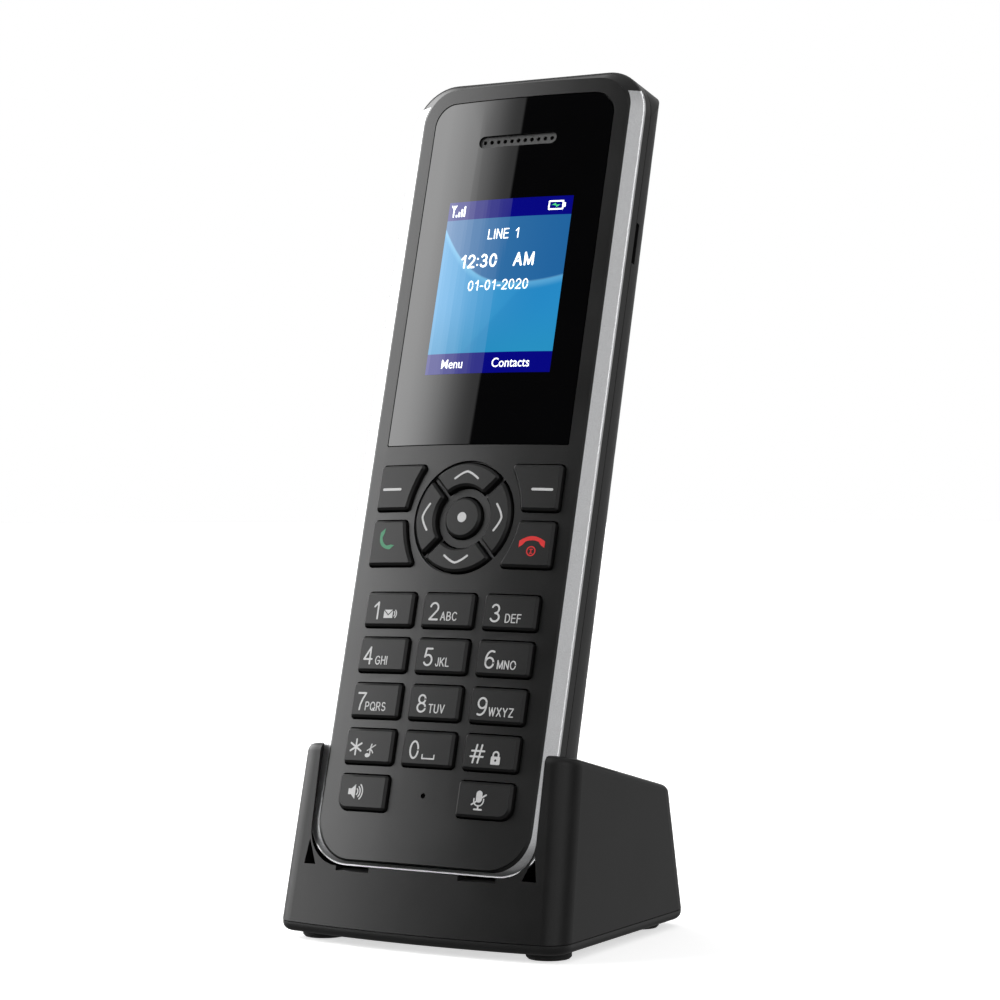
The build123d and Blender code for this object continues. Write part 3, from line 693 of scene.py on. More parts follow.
# Each character's width, and its strokes, for a height of 1.
GLYPHS: dict[str, tuple[float, list[list[Point]]]] = {
    "0": (0.56, [bow(0.28, 0.5, 0.28, 0.5, 0, 360)]),
    "1": (0.40, [[(0.06, 0.74), (0.34, 1.0), (0.34, 0.0)]]),
    "2": (0.56, [bow(0.28, 0.72, 0.27, 0.28, 168, -38) + [(0.0, 0.0), (0.56, 0.0)]]),
    "3": (0.56, [bow(0.27, 0.75, 0.23, 0.25, 155, -90), bow(0.27, 0.25, 0.28, 0.25, 90, -158)]),
    "4": (0.60, [[(0.45, 0.0), (0.45, 1.0), (0.0, 0.28), (0.60, 0.28)]]),
    "5": (0.56, [[(0.52, 1.0), (0.12, 1.0), (0.05, 0.52)],
                 bow(0.27, 0.31, 0.28, 0.31, 143, -150)]),
    "6": (0.56, [bow(0.29, 0.30, 0.27, 0.30, 0, 360), bow(0.40, 0.42, 0.38, 0.58, 68, 190)]),
    "7": (0.56, [[(0.0, 1.0), (0.56, 1.0)],
                 [(0.56, 1.0), (0.34, 0.62), (0.22, 0.3), (0.18, 0.0)]]),
    "8": (0.56, [bow(0.28, 0.76, 0.23, 0.24, 0, 360), bow(0.28, 0.26, 0.28, 0.26, 0, 360)]),
    "9": (0.56, [bow(0.27, 0.70, 0.27, 0.30, 0, 360), bow(0.16, 0.58, 0.38, 0.58, 10, -112)]),
    "A": (0.68, [[(0.0, 0.0), (0.34, 1.0), (0.68, 0.0)], [(0.12, 0.34), (0.56, 0.34)]]),
    "B": (0.58, [STEM + [(0.3, 1.0)] + bow(0.3, 0.76, 0.22, 0.24, 90, -90)
                 + [(0.0, 0.52)], bow(0.32, 0.26, 0.26, 0.26, 90, -90) + [(0.0, 0.0)]]),
    "C": (0.66, [bow(0.36, 0.5, 0.36, 0.5, 42, 318)]),
    "D": (0.64, [STEM + [(0.26, 1.0)] + bow(0.26, 0.5, 0.38, 0.5, 90, -90)
                 + [(0.0, 0.0)]]),
    "E": (0.54, [[(0.54, 1.0), (0.0, 1.0), (0.0, 0.0), (0.54, 0.0)], [(0.0, 0.53), (0.5, 0.53)]]),
    "F": (0.50, [[(0.5, 1.0), (0.0, 1.0), (0.0, 0.0)], [(0.0, 0.53), (0.44, 0.53)]]),
    "G": (0.72, [bow(0.38, 0.5, 0.38, 0.5, 42, 322) + [(0.72, 0.46), (0.42, 0.46)]]),
    "H": (0.60, [STEM, [(0.6, 0.0), (0.6, 1.0)], [(0.0, 0.52), (0.6, 0.52)]]),
    "I": (0.0, [STEM]),
    "J": (0.38, [[(0.38, 1.0)] + bow(0.19, 0.24, 0.19, 0.24, 0, -175)]),
    "K": (0.60, [STEM, [(0.56, 1.0), (0.0, 0.36)], [(0.2, 0.58), (0.6, 0.0)]]),
    "L": (0.48, [[(0.0, 1.0), (0.0, 0.0), (0.48, 0.0)]]),
    "M": (0.74, [STEM + [(0.37, 0.06), (0.74, 1.0), (0.74, 0.0)]]),
    "N": (0.60, [STEM + [(0.6, 0.0), (0.6, 1.0)]]),
    "O": (0.76, [bow(0.38, 0.5, 0.38, 0.5, 0, 360)]),
    "P": (0.56, [HIGH_BOWL]),
    "Q": (0.76, [bow(0.38, 0.5, 0.38, 0.5, 0, 360), [(0.46, 0.24), (0.76, -0.04)]]),
    "R": (0.60, [HIGH_BOWL, [(0.34, 0.48), (0.6, 0.0)]]),
    "S": (0.58, [bow(0.29, 0.745, 0.25, 0.255, 30, 250)
                 + bow(0.29, 0.255, 0.29, 0.255, 78, -152)]),
    "T": (0.60, [[(0.0, 1.0), (0.6, 1.0)], [(0.3, 1.0), (0.3, 0.0)]]),
    "U": (0.60, [[(0.0, 1.0)] + bow(0.3, 0.3, 0.3, 0.3, 180, 360) + [(0.6, 1.0)]]),
    "V": (0.64, [[(0.0, 1.0), (0.32, 0.0), (0.64, 1.0)]]),
    "W": (0.90, [[(0.0, 1.0), (0.22, 0.0), (0.45, 1.0), (0.68, 0.0), (0.9, 1.0)]]),
    "X": (0.60, [[(0.0, 1.0), (0.6, 0.0)], [(0.6, 1.0), (0.0, 0.0)]]),
    "Y": (0.62, [[(0.0, 1.0), (0.31, 0.46), (0.62, 1.0)], [(0.31, 0.46), (0.31, 0.0)]]),
    "Z": (0.60, [[(0.0, 1.0), (0.6, 1.0), (0.0, 0.0), (0.6, 0.0)]]),
    ":": (0.0, [[(0.0, 0.16), (0.0, 0.17)], [(0.0, 0.68), (0.0, 0.69)]]),
    "-": (0.32, [[(0.0, 0.4), (0.32, 0.4)]]),
    " ": (0.30, []),
}


def turned(points: Iterable[Point], degrees: float, place: Point) -> list[Point]:
    """Turns points about the origin, then moves them.

    Args:
        points: the points.
        degrees: how far they turn to the left.
        place: where the origin moves to.

    Returns:
        The points in their new places.
    """
    cosine, sine = math.cos(math.radians(degrees)), math.sin(math.radians(degrees))
    return [(place[0] + x * cosine - y * sine, place[1] + x * sine + y * cosine)
            for x, y in points]


def rounded_box(centre: Point, width: float, height: float, corner: float) -> list[Point]:
    """A rectangle with round corners.

    Args:
        centre: its middle.
        width: its full width.
        height: its full height.
        corner: the radius of its corners.

    Returns:
        Its outline.
    """
    inner_x, inner_y = width / 2 - corner, height / 2 - corner
    outline: list[Point] = []
    for turn, (side_x, side_y) in enumerate(((1, 1), (-1, 1), (-1, -1), (1, -1))):
        middle = (centre[0] + side_x * inner_x, centre[1] + side_y * inner_y)
        outline += arc(middle, corner, 90 * turn, 90 * turn + 90, 5)
    return outline


class Artwork:
    """Print for one surface: shapes and lettering in millimetres, laid on a CAD node."""

    ink_thickness = 0.035
    sink = 0.012
    probe_height = 0.05
    weld = 1e-8
    sharp_corner = 0.8

    def __init__(self) -> None:
        """Starts with nothing drawn."""
        self.mesh = bmesh.new()

    def shape(self, *loops: Sequence[Point]) -> "Artwork":
        """Adds a filled shape.

        Args:
            loops: its outline, then the outlines of its holes.

        Returns:
            This artwork.
        """
        flat = [[Vector((x, y, 0.0)) for x, y in loop] for loop in loops]
        places = [point for loop in flat for point in loop]
        raised = Vector((0, 0, self.ink_thickness))
        under = [self.mesh.verts.new(point) for point in places]
        over = [self.mesh.verts.new(point + raised) for point in places]
        for triangle in tessellate_polygon(flat):
            self.mesh.faces.new([over[i] for i in triangle])
            self.mesh.faces.new([under[i] for i in reversed(triangle)])
        first = 0
        for loop in flat:
            for i in range(len(loop)):
                a, b = first + i, first + (i + 1) % len(loop)
                self.mesh.faces.new([under[a], under[b], over[b], over[a]])
            first += len(loop)
        return self

    def disc(self, centre: Point, radius: float, hole: float = 0.0) -> "Artwork":
        """Adds a filled circle, or a ring where it has a hole."""
        loops = [arc(centre, r, 0, 345, 23) for r in (radius, hole) if r > 0]
        return self.shape(*loops)

    def stroke(self, points: Sequence[Point], width: float) -> "Artwork":
        """Adds a line of even width with round ends. A sharp corner is made by two lines.

        Args:
            points: the line's points.
            width: its width.

        Returns:
            This artwork.
        """
        path = [Vector(point) for point in points]
        for i in range(1, len(path) - 1):
            before = (path[i] - path[i - 1]).normalized()
            after = (path[i + 1] - path[i]).normalized()
            if before.dot(after) < self.sharp_corner:
                return self.stroke(points[:i + 1], width).stroke(points[i:], width)
        left: list[Point] = []
        right: list[Point] = []
        for i, point in enumerate(path):
            before = path[max(i - 1, 0)]
            after = path[min(i + 1, len(path) - 1)]
            heading = (after - before).normalized()
            reach = Vector((-heading.y, heading.x)) * (width / 2)
            left.append(tuple(point + reach))
            right.append(tuple(point - reach))
        first = math.degrees(math.atan2(*(path[1] - path[0]).yx))
        last = math.degrees(math.atan2(*(path[-1] - path[-2]).yx))
        nose = arc(tuple(path[-1]), width / 2, last + 72, last - 72, 4)
        tail = arc(tuple(path[0]), width / 2, first - 108, first - 252, 4)
        return self.shape(left + nose + right[::-1] + tail)

    def drawn(self, text: str, place: Point, height: float, weight: float,
              start: Side = Side.LEFT, narrow: float = 0.9) -> "Artwork":
        """Adds a line of plain lettering drawn with even strokes, standing on its baseline.

        Args:
            text: the characters, capitals and digits.
            place: where the line starts, or its middle, on the baseline.
            height: the height of a capital letter.
            weight: the width of the strokes.
            start: whether place is the line's left end or its middle.
            narrow: how much the letters are drawn in sideways.

        Returns:
            This artwork.
        """
        inner = height - weight
        gap = 0.19 + weight / height
        widths = [GLYPHS[letter][0] for letter in text]
        total = (sum(widths) + gap * (len(text) - 1)) * inner * narrow
        pen = place[0] + weight / 2 - (total / 2 + weight / 2 if start is Side.MIDDLE else 0.0)
        for letter, wide in zip(text, widths):
            for line in GLYPHS[letter][1]:
                self.stroke([(pen + x * inner * narrow, place[1] + weight / 2 + y * inner)
                             for x, y in line], weight)
            pen += (wide + gap) * inner * narrow
        return self

    def lettering(self, text: str, place: Point, height: float, start: Side = Side.LEFT,
                  narrow: float = 0.86, weight: float = 0.0) -> "Artwork":
        """Adds a line of lettering that stands on its baseline.

        Args:
            text: the characters.
            place: where the line starts, or its middle, on the baseline.
            height: the height of a capital letter.
            start: whether place is the line's left end or its middle.
            narrow: how much the letters are drawn in sideways.
            weight: how much each outline grows, as a share of the height.

        Returns:
            This artwork.
        """
        capital = 0.73
        data = bpy.data.curves.new("lettering", "FONT")
        data.body = text
        data.align_x = start.value
        data.size = height / capital
        data.offset = weight * height
        data.extrude = self.ink_thickness / 2
        data.resolution_u = 5
        holder = bpy.data.objects.new("lettering", data)
        bpy.context.scene.collection.objects.link(holder)
        bpy.context.view_layer.update()
        solid = bpy.data.meshes.new_from_object(holder)
        solid.transform(Matrix.Translation((*place, self.ink_thickness / 2))
                        @ Matrix.Diagonal((narrow, 1.0, 1.0, 1.0)))
        self.mesh.from_mesh(solid)
        bpy.data.objects.remove(holder)
        bpy.data.curves.remove(data)
        bpy.data.meshes.remove(solid)
        return self

    def lay(self, name: str, face: FacePlane, node: str, body: str,
            ink: bpy.types.Material, lift: float = 0.0) -> bpy.types.Object:
        """Lays the artwork on a CAD node, in face coordinates, as one piece.

        Args:
            name: the piece's name.
            face: the handset's face.
            node: the CAD node under it.
            body: the CAD body that it rides on.
            ink: its material.
            lift: how far it lies above the surface, in millimetres.

        Returns:
            The new piece.
        """
        ground = face.surface(node)
        level = face.extent(node)[1].z * MM
        probe = Vector((0.0, 0.0, self.probe_height))
        for vertex in self.mesh.verts:
            x, y, z = vertex.co * MM
            hit = ground.ray_cast(Vector((x, y, 0.0)) + probe, Vector((0, 0, -1)))[0]
            height = level if hit is None else hit.z
            vertex.co = Vector((x, y, height + z + (lift - self.sink) * MM))
        bmesh.ops.remove_doubles(self.mesh, verts=self.mesh.verts, dist=self.weld)
        bmesh.ops.recalc_face_normals(self.mesh, faces=self.mesh.faces)
        data = bpy.data.meshes.new(name)
        self.mesh.to_mesh(data)
        self.mesh.free()
        data.transform(face.matrix())
        data.materials.append(ink)
        piece = bpy.data.objects.new(name, data)
        bpy.context.scene.collection.objects.link(piece)
        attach(piece, body)
        log.info("piece %s rides on %s", name, body)
        return piece


def dress(material: bpy.types.Material, nodes: Iterable[str]) -> None:
    """Gives CAD nodes a material.

    Args:
        material: the material.
        nodes: the nodes' names.
    """
    for node in nodes:
        slots = frame["nodes"][node].data.materials
        slots.clear()
        slots.append(material)
        log.info("node %s wears %s", node, material.name)


# ---- Keypad ------------------------------------------------------------------------------------
class Icon(Enum):
    """The small pictures beside or in place of a key's lettering."""

    MESSAGE = "message"
    NOTE = "note"
    SPACE = "space"
    PADLOCK = "padlock"
    SPEAKER = "speaker"
    MUTE = "mute"
    DASH = "dash"
    ANSWER = "answer"
    HANG_UP = "hang up"
    DOT = "dot"


@dataclass
class IconPainter:
    """Draws the small pictures. Each method takes the artwork and the picture's middle."""

    line: float = 0.26

    def draw(self, icon: Icon, art: Artwork, x: float, y: float) -> None:
        """Draws one picture.

        Args:
            icon: which one.
            art: the artwork that it goes on.
            x: its middle across.
            y: its middle up.
        """
        {Icon.MESSAGE: self.message, Icon.NOTE: self.note, Icon.SPACE: self.space,
         Icon.PADLOCK: self.padlock, Icon.SPEAKER: self.speaker, Icon.MUTE: self.mute,
         Icon.DASH: self.dash, Icon.ANSWER: self.answer, Icon.HANG_UP: self.hang_up,
         Icon.DOT: self.dot}[icon](art, x, y)

    def message(self, art: Artwork, x: float, y: float) -> None:
        """A closed envelope with two sound waves."""
        half, rise, gap = 1.05, 0.8, 0.09
        left, right = x - 0.45 - half, x - 0.45 + half
        middle = x - 0.45
        art.shape([(left + gap, y + rise), (right - gap, y + rise), (middle, y - 0.05)])
        art.shape([(left, y + rise - gap * 2), (middle, y - 0.05 - gap * 3.2),
                   (right, y + rise - gap * 2), (right, y - rise), (left, y - rise)])
        for radius in (0.55, 0.95):
            art.stroke(arc((right - 0.05, y), radius, -48, 48, 8), self.line * 0.8)

    def note(self, art: Artwork, x: float, y: float) -> None:
        """A quaver with a stroke through it."""
        art.shape([(x - 0.62 + 0.52 * math.cos(a / 8 * math.pi) * 1.1,
                    y - 0.85 + 0.40 * math.sin(a / 8 * math.pi)) for a in range(16)])
        art.stroke([(x - 0.08, y - 0.8), (x - 0.08, y + 0.45), (x + 0.15, y + 1.25)], self.line)
        art.stroke([(x - 0.08, y + 0.35), (x + 0.35, y + 0.05), (x + 0.6, y - 0.35)],
                   self.line * 0.9)
        art.stroke([(x - 0.75, y + 0.05), (x + 1.05, y + 1.15)], self.line * 0.8)

    def space(self, art: Artwork, x: float, y: float) -> None:
        """A flat bracket for a space."""
        art.stroke([(x - 1.3, y - 0.2), (x - 1.3, y - 0.9)], self.line)
        art.stroke([(x - 1.3, y - 0.9), (x + 1.3, y - 0.9)], self.line)
        art.stroke([(x + 1.3, y - 0.9), (x + 1.3, y - 0.2)], self.line)

    def padlock(self, art: Artwork, x: float, y: float) -> None:
        """A closed padlock with a keyhole."""
        art.shape(rounded_box((x, y - 0.45), 1.9, 1.5, 0.18), arc((x, y - 0.42), 0.24, 0, 330, 11))
        shackle = [(x + 0.55, y + 0.3), *arc((x, y + 0.62), 0.55, 0, 180, 10), (x - 0.55, y + 0.3)]
        art.stroke(shackle, self.line * 1.25)

    def speaker(self, art: Artwork, x: float, y: float) -> None:
        """A loudspeaker with three sound waves."""
        art.shape([(x - 1.75, y - 0.55), (x - 1.75, y + 0.55), (x - 1.05, y + 0.55),
                   (x - 0.1, y + 1.4), (x - 0.1, y - 1.4), (x - 1.05, y - 0.55)])
        for radius in (0.75, 1.3, 1.85):
            art.stroke(arc((x - 0.25, y), radius, -46, 46, 10), self.line)

    def mute(self, art: Artwork, x: float, y: float) -> None:
        """A microphone with a stroke through it."""
        head = arc((x, y + 1.05), 0.62, 0, 180, 8) + arc((x, y + 0.1), 0.62, 180, 360, 8)
        art.shape(head)
        cup = [(x - 1.0, y + 0.15), *arc((x, y - 0.15), 1.0, 190, 350, 10), (x + 1.0, y + 0.15)]
        art.stroke(cup, self.line * 0.9)
        art.stroke([(x, y - 1.1), (x, y - 1.75)], self.line * 1.2)
        art.stroke([(x - 0.75, y - 1.8), (x + 0.75, y - 1.8)], self.line * 1.2)
        art.stroke([(x - 1.4, y - 0.95), (x + 1.4, y + 0.95)], self.line * 1.1)

    def dash(self, art: Artwork, x: float, y: float) -> None:
        """A plain dash."""
        art.stroke([(x - 2.0, y), (x + 2.0, y)], 0.5)

    def answer(self, art: Artwork, x: float, y: float) -> None:
        """A telephone receiver that leans back."""
        upturned = [(px, 0.35 - py) for px, py in self.receiver(2.1, 0.45, 0.85, 1.15)]
        art.shape(turned(upturned, -52, (x - 0.25, y)))

    def hang_up(self, art: Artwork, x: float, y: float) -> None:
        """A receiver laid flat, over a small ring with a bar."""
        art.shape([(x + px, y + 0.35 + py) for px, py in self.receiver(2.65, 0.5, 0.78, 0.95)])
        art.disc((x, y - 1.55), 0.95, 0.74)
        art.stroke([(x, y - 1.25), (x, y - 1.9)], self.line * 0.75)
        art.stroke([(x - 0.28, y - 1.2), (x + 0.28, y - 1.2)], self.line * 0.6)
        art.stroke([(x - 0.28, y - 1.95), (x + 0.28, y - 1.95)], self.line * 0.6)

    def receiver(self, half: float, thin: float, thick: float, drop: float) -> list[Point]:
        """The outline of an arched receiver, thin in the middle and thick at both ends.

        Args:
            half: half its length.
            thin: half its thickness in the middle.
            thick: half its thickness at the ends.
            drop: how far its ends hang below its middle.

        Returns:
            The outline.
        """
        def level(x: float) -> float:
            """How high the arch is at x."""
            return drop * 0.55 - drop * (abs(x) / half) ** 1.9

        def reach(x: float) -> float:
            """Half the thickness at x."""
            return thin + (thick - thin) * min(1.0, max(0.0, (abs(x) / half - 0.5) / 0.22))

        places = [half * (i / 12 - 1) for i in range(25)]
        upper = [(x, level(x) + thin * 0.85) for x in places]
        lower = [(x, level(x) + thin * 0.85 - 2 * reach(x) * 0.78) for x in reversed(places)]
        return upper + lower

    def dot(self, art: Artwork, x: float, y: float) -> None:
        """A round dot."""
        art.disc((x, y), 0.98)

    def arrow(self, art: Artwork, x: float, y: float, turn: float) -> None:
        """A wide curved arrowhead.

        Args:
            art: the artwork.
            x: its middle across.
            y: its middle up.
            turn: how far it is turned from pointing up, in degrees.
        """
        half, rise, weight = 2.55, 1.35, 0.4
        shares = [i / 8 - 1 for i in range(17)]
        curve = [(half * share, rise * (0.5 - abs(share) ** 1.45)) for share in shares]
        art.stroke(turned(curve, turn, (x, y)), weight)


@dataclass(frozen=True)
class Legend:
    """What one key says: a large character, small letters, or a picture.

    Args:
        character: the large character, or nothing.
        letters: the small letters, or nothing.
        icon: the picture, or None.
        inset: where the large character's middle is, from the key's left edge, in millimetres.
        follow: where the small letters start, or the picture's middle is, from the same edge.
    """

    character: str = ""
    letters: str = ""
    icon: Icon | None = None
    inset: float = 2.75
    follow: float = 4.35


@dataclass
class Keypad:
    """The keys, their print and the rubber under them.

    Args:
        face: the handset's face.
        digit_height: the height of a digit in millimetres.
        letter_height: the height of a small letter in millimetres.
        digit_weight: the width of a digit's strokes.
        letter_weight: the width of a small letter's strokes.
        baseline: how far the baseline is below a key's middle.
        key_width: the width of a dialling key.
        side_mark: how far out the marks of the soft, call and end keys are.
        arrow_ring: how far the ring's arrows are from its middle.
        painter: what draws the pictures.
        legends: what each key of the lower field says.
    """

    face: FacePlane
    digit_height: float = 3.5
    letter_height: float = 1.72
    digit_weight: float = 0.36
    letter_weight: float = 0.21
    baseline: float = 2.05
    key_width: float = 11.15
    side_mark: float = 16.8
    arrow_ring: float = 8.15
    painter: IconPainter = field(default_factory=IconPainter)
    legends: dict[str, Legend] = field(default_factory=lambda: {
        "key_1": Legend("1", icon=Icon.MESSAGE, follow=6.2),
        "key_2": Legend("2", "ABC", inset=2.85, follow=4.4),
        "key_3": Legend("3", "DEF", follow=4.9),
        "key_4": Legend("4", "GHI", inset=2.45, follow=4.25),
        "key_5": Legend("5", "JKL", inset=3.0, follow=4.75),
        "key_6": Legend("6", "MNO", inset=2.9, follow=4.6),
        "key_7": Legend("7", "PQRS", inset=2.45, follow=3.45),
        "key_8": Legend("8", "TUV", inset=3.05, follow=4.65),
        "key_9": Legend("9", "WXYZ", follow=4.15),
        "key_star": Legend("*", icon=Icon.NOTE, inset=2.75, follow=6.3),
        "key_0": Legend("0", icon=Icon.SPACE, inset=2.85, follow=6.1),
        "key_hash": Legend("#", icon=Icon.PADLOCK, inset=3.1, follow=6.95),
        "key_speaker": Legend(icon=Icon.SPEAKER, follow=4.25),
        "key_mute": Legend(icon=Icon.MUTE, follow=4.7),
    })

    def build(self) -> None:
        """Dresses the keys and prints every legend."""
        keys = MouldedPlastic("key_satin", grey(0.009), 0.44, 0.2, 0.004, 0.27).make()
        names = [node for node in frame["nodes"] if node.startswith(("key_", "nav_", "softkey_"))]
        dress(keys, names)
        dress(SoftRubber("keypad_silicone", grey(0.12)).make(), ["keypad_membrane"])
        # The key inks carry a painted glow: they emit light, though no lamp lights the keys from
        # behind.
        white = PrintInk("print_white", (0.52, 0.52, 0.52), 0.12).make()
        green = PrintInk("print_green", (0.004, 0.16, 0.065), 0.35).make()
        red = PrintInk("print_red", (0.50, 0.005, 0.005), 0.4).make()
        for key, legend in self.legends.items():
            self.print_legend(key, legend, white)
        self.print_side_keys(white, green, red)
        self.print_ring(white)

    def print_legend(self, key: str, legend: Legend, ink: bpy.types.Material) -> None:
        """Prints one key of the lower field.

        Args:
            key: the key's node and body.
            legend: what it says.
            ink: the ink.
        """
        low, high = self.face.extent(key)
        middle = (low + high) / 2
        left = middle.x - self.key_width / 2
        foot = middle.y - self.baseline
        art = Artwork()
        if legend.character == "*":
            self.draw_star(art, left + legend.inset, middle.y - 0.3)
        elif legend.character == "#":
            self.draw_hash(art, left + legend.inset, middle.y - 0.35)
        elif legend.character:
            art.drawn(legend.character, (left + legend.inset, foot), self.digit_height,
                      self.digit_weight, Side.MIDDLE, 1.0)
        if legend.letters:
            art.drawn(legend.letters, (left + legend.follow, foot), self.letter_height,
                      self.letter_weight)
        if legend.icon:
            drop = 0.95 if legend.character else 0.0
            self.painter.draw(legend.icon, art, left + legend.follow, middle.y - drop)
        art.lay(f"legend_{key}", self.face, key, key, ink)

    @staticmethod
    def draw_star(art: Artwork, x: float, y: float) -> None:
        """Draws a six-armed star."""
        arm, weight = 1.45, 0.36
        for turn in (90, 30, -30):
            art.stroke(turned([(-arm, 0.0), (arm, 0.0)], turn, (x, y)), weight)

    @staticmethod
    def draw_hash(art: Artwork, x: float, y: float) -> None:
        """Draws a leaning hash mark."""
        half_width, half_height, lean, weight = 1.3, 1.65, 0.3, 0.34
        for side in (-0.52, 0.52):
            middle = x + side * 0.18
            art.stroke([(x + side - lean, y - half_height), (x + side + lean, y + half_height)],
                       weight)
            art.stroke([(middle - half_width, y + side), (middle + half_width, y + side)], weight)

    def print_side_keys(self, white: bpy.types.Material, green: bpy.types.Material,
                        red: bpy.types.Material) -> None:
        """Prints the two soft keys, the call key and the end key.

        Args:
            white: the ink of the dashes.
            green: the ink of the call key.
            red: the ink of the end key.
        """
        marks = (("softkey_left", Icon.DASH, -self.side_mark, -0.4, white),
                 ("softkey_right", Icon.DASH, self.side_mark, -0.4, white),
                 ("key_call", Icon.ANSWER, -self.side_mark, 0.0, green),
                 ("key_end", Icon.HANG_UP, self.side_mark - 0.6, 0.2, red))
        for key, icon, x, shift, ink in marks:
            low, high = self.face.extent(key)
            art = Artwork()
            self.painter.draw(icon, art, x, (low.y + high.y) / 2 + shift)
            art.lay(f"mark_{key}", self.face, key, key, ink)

    def print_ring(self, white: bpy.types.Material) -> None:
        """Prints the four arrows of the ring and the dot in its middle.

        Args:
            white: the ink.
        """
        low, high = self.face.extent("nav_ok")
        centre = (low + high) / 2
        for quarter, key in enumerate(("nav_up", "nav_left", "nav_down", "nav_right")):
            angle = math.radians(90 + 90 * quarter)
            art = Artwork()
            self.painter.arrow(art, centre.x + self.arrow_ring * math.cos(angle),
                               centre.y + self.arrow_ring * math.sin(angle), 90 * quarter)
            art.lay(f"arrow_{key}", self.face, key, key, white)
        art = Artwork()
        self.painter.dot(art, centre.x, centre.y)
        art.lay("dot_nav_ok", self.face, "nav_ok", "nav_ok", white)


# ---- Display -----------------------------------------------------------------------------------
@dataclass
class Display:
    """The lens and the lit picture under its face.

    Args:
        face: the handset's face.
        width: the picture's width in millimetres.
        height: the picture's height in millimetres.
        shift: how far its middle is to the right of the lens's.
        top_bar: the height of its upper bar.
        bottom_bar: the height of its lower bar.
        columns: how many faces it has across.
        rows: how many faces it has up.
        small_type: the height and the stroke width of the title and the date.
        large_type: the same of the time.
        label_height: the height of the soft labels' capitals.
        lens: the node that it lies on.
    """

    face: FacePlane
    width: float = 28.03
    height: float = 35.04
    shift: float = 0.3
    top_bar: float = 3.75
    bottom_bar: float = 4.1
    columns: int = 40
    rows: int = 12
    small_type: Point = (2.1, 0.25)
    large_type: Point = (2.75, 0.42)
    label_height: float = 1.9
    lens: str = "display_lens"

    def build(self) -> None:
        """Dresses the lens, and lays the picture and its text."""
        dress(LensGloss().make(), [self.lens])
        self.lay_picture()
        white = PrintInk("display_white", (0.9, 0.95, 0.95), 0.9).make()
        green = PrintInk("display_green", (0.02, 0.45, 0.12), 0.8).make()
        self.draw_text(white)
        self.draw_signal(white)
        self.draw_battery(white, green)

    def at(self, share_x: float, share_y: float) -> Point:
        """A place on the picture.

        Args:
            share_x: from 0 at its left edge to 1 at its right.
            share_y: from 0 at its top to 1 at its foot.

        Returns:
            The place in face millimetres.
        """
        return (self.shift + (share_x - 0.5) * self.width, (0.5 - share_y) * self.height)

    def lay_picture(self) -> None:
        """Makes the picture: a thin plate that follows the lens's crown."""
        glow = DisplayGlow("display_picture", self.face.across, self.face.up, self.width,
                           self.height, self.top_bar, self.bottom_bar, self.shift).make()
        art = Artwork()
        thickness = art.ink_thickness
        grid = [[[art.mesh.verts.new((*self.at(i / self.columns, j / self.rows), z))
                  for j in range(self.rows + 1)] for i in range(self.columns + 1)]
                for z in (0.0, thickness)]
        under, over = grid
        for i in range(self.columns):
            for j in range(self.rows):
                for sheet in (under, over):
                    art.mesh.faces.new((sheet[i][j], sheet[i + 1][j], sheet[i + 1][j + 1],
                                        sheet[i][j + 1]))
        rim = [(i, 0) for i in range(self.columns)]
        rim += [(self.columns, j) for j in range(self.rows)]
        rim += [(i, self.rows) for i in range(self.columns, 0, -1)]
        rim += [(0, j) for j in range(self.rows, 0, -1)]
        for (i, j), (k, m) in zip(rim, rim[1:] + rim[:1]):
            art.mesh.faces.new((under[i][j], under[k][m], over[k][m], over[i][j]))
        piece = art.lay("display_picture", self.face, self.lens, "handset", glow)

    def draw_text(self, ink: bpy.types.Material) -> None:
        """Draws the title, the time, the date and the two soft labels."""
        art = Artwork()
        for text, x, y in (("LINE 1", 0.49, 0.232), ("01-01-2020", 0.5, 0.527)):
            art.drawn(text, self.at(x, y), *self.small_type, Side.MIDDLE, 0.95)
        for text, x in (("12:30", 0.165), ("AM", 0.60)):
            art.drawn(text, self.at(x, 0.394), *self.large_type, Side.LEFT, 1.0)
        for text, x in (("Menu", 0.125), ("Contacts", 0.54)):
            art.lettering(text, self.at(x, 0.968), self.label_height, Side.LEFT, 0.88, 0.006)
        art.lay("display_text", self.face, self.lens, "handset", ink, art.ink_thickness)

    def draw_signal(self, ink: bpy.types.Material) -> None:
        """Draws the aerial and its four bars."""
        art = Artwork()
        x, foot = self.at(0.045, 0.088)
        art.stroke([(x, foot + 0.1), (x, foot + 2.3)], 0.32)
        for side in (-0.55, 0.55):
            art.stroke([(x + side, foot + 2.4), (x, foot + 1.6)], 0.24)
        for i in range(4):
            left, tall = x + 0.55 + 0.62 * i, 0.5 + 0.55 * i
            art.shape([(left, foot), (left + 0.4, foot), (left + 0.4, foot + tall),
                       (left, foot + tall)])
        art.lay("display_signal", self.face, self.lens, "handset", ink, art.ink_thickness)

    def draw_battery(self, ink: bpy.types.Material, green: bpy.types.Material) -> None:
        """Draws the charging battery."""
        art = Artwork()
        x, y = self.at(0.875, 0.052)
        art.shape(rounded_box((x, y), 3.3, 1.9, 0.2), rounded_box((x, y), 2.7, 1.3, 0.1))
        art.shape(rounded_box((x + 1.85, y), 0.42, 0.9, 0.1))
        art.lay("display_battery", self.face, self.lens, "handset", ink, art.ink_thickness)
        bolt = Artwork()
        bolt.shape([(x - 0.95, y + 0.05), (x - 0.1, y + 0.45), (x + 0.05, y + 0.05),
                    (x + 0.95, y + 0.1), (x + 0.1, y - 0.45), (x - 0.05, y - 0.05)])
        bolt.lay("display_charge_bolt", self.face, self.lens, "handset", green,
                 bolt.ink_thickness)


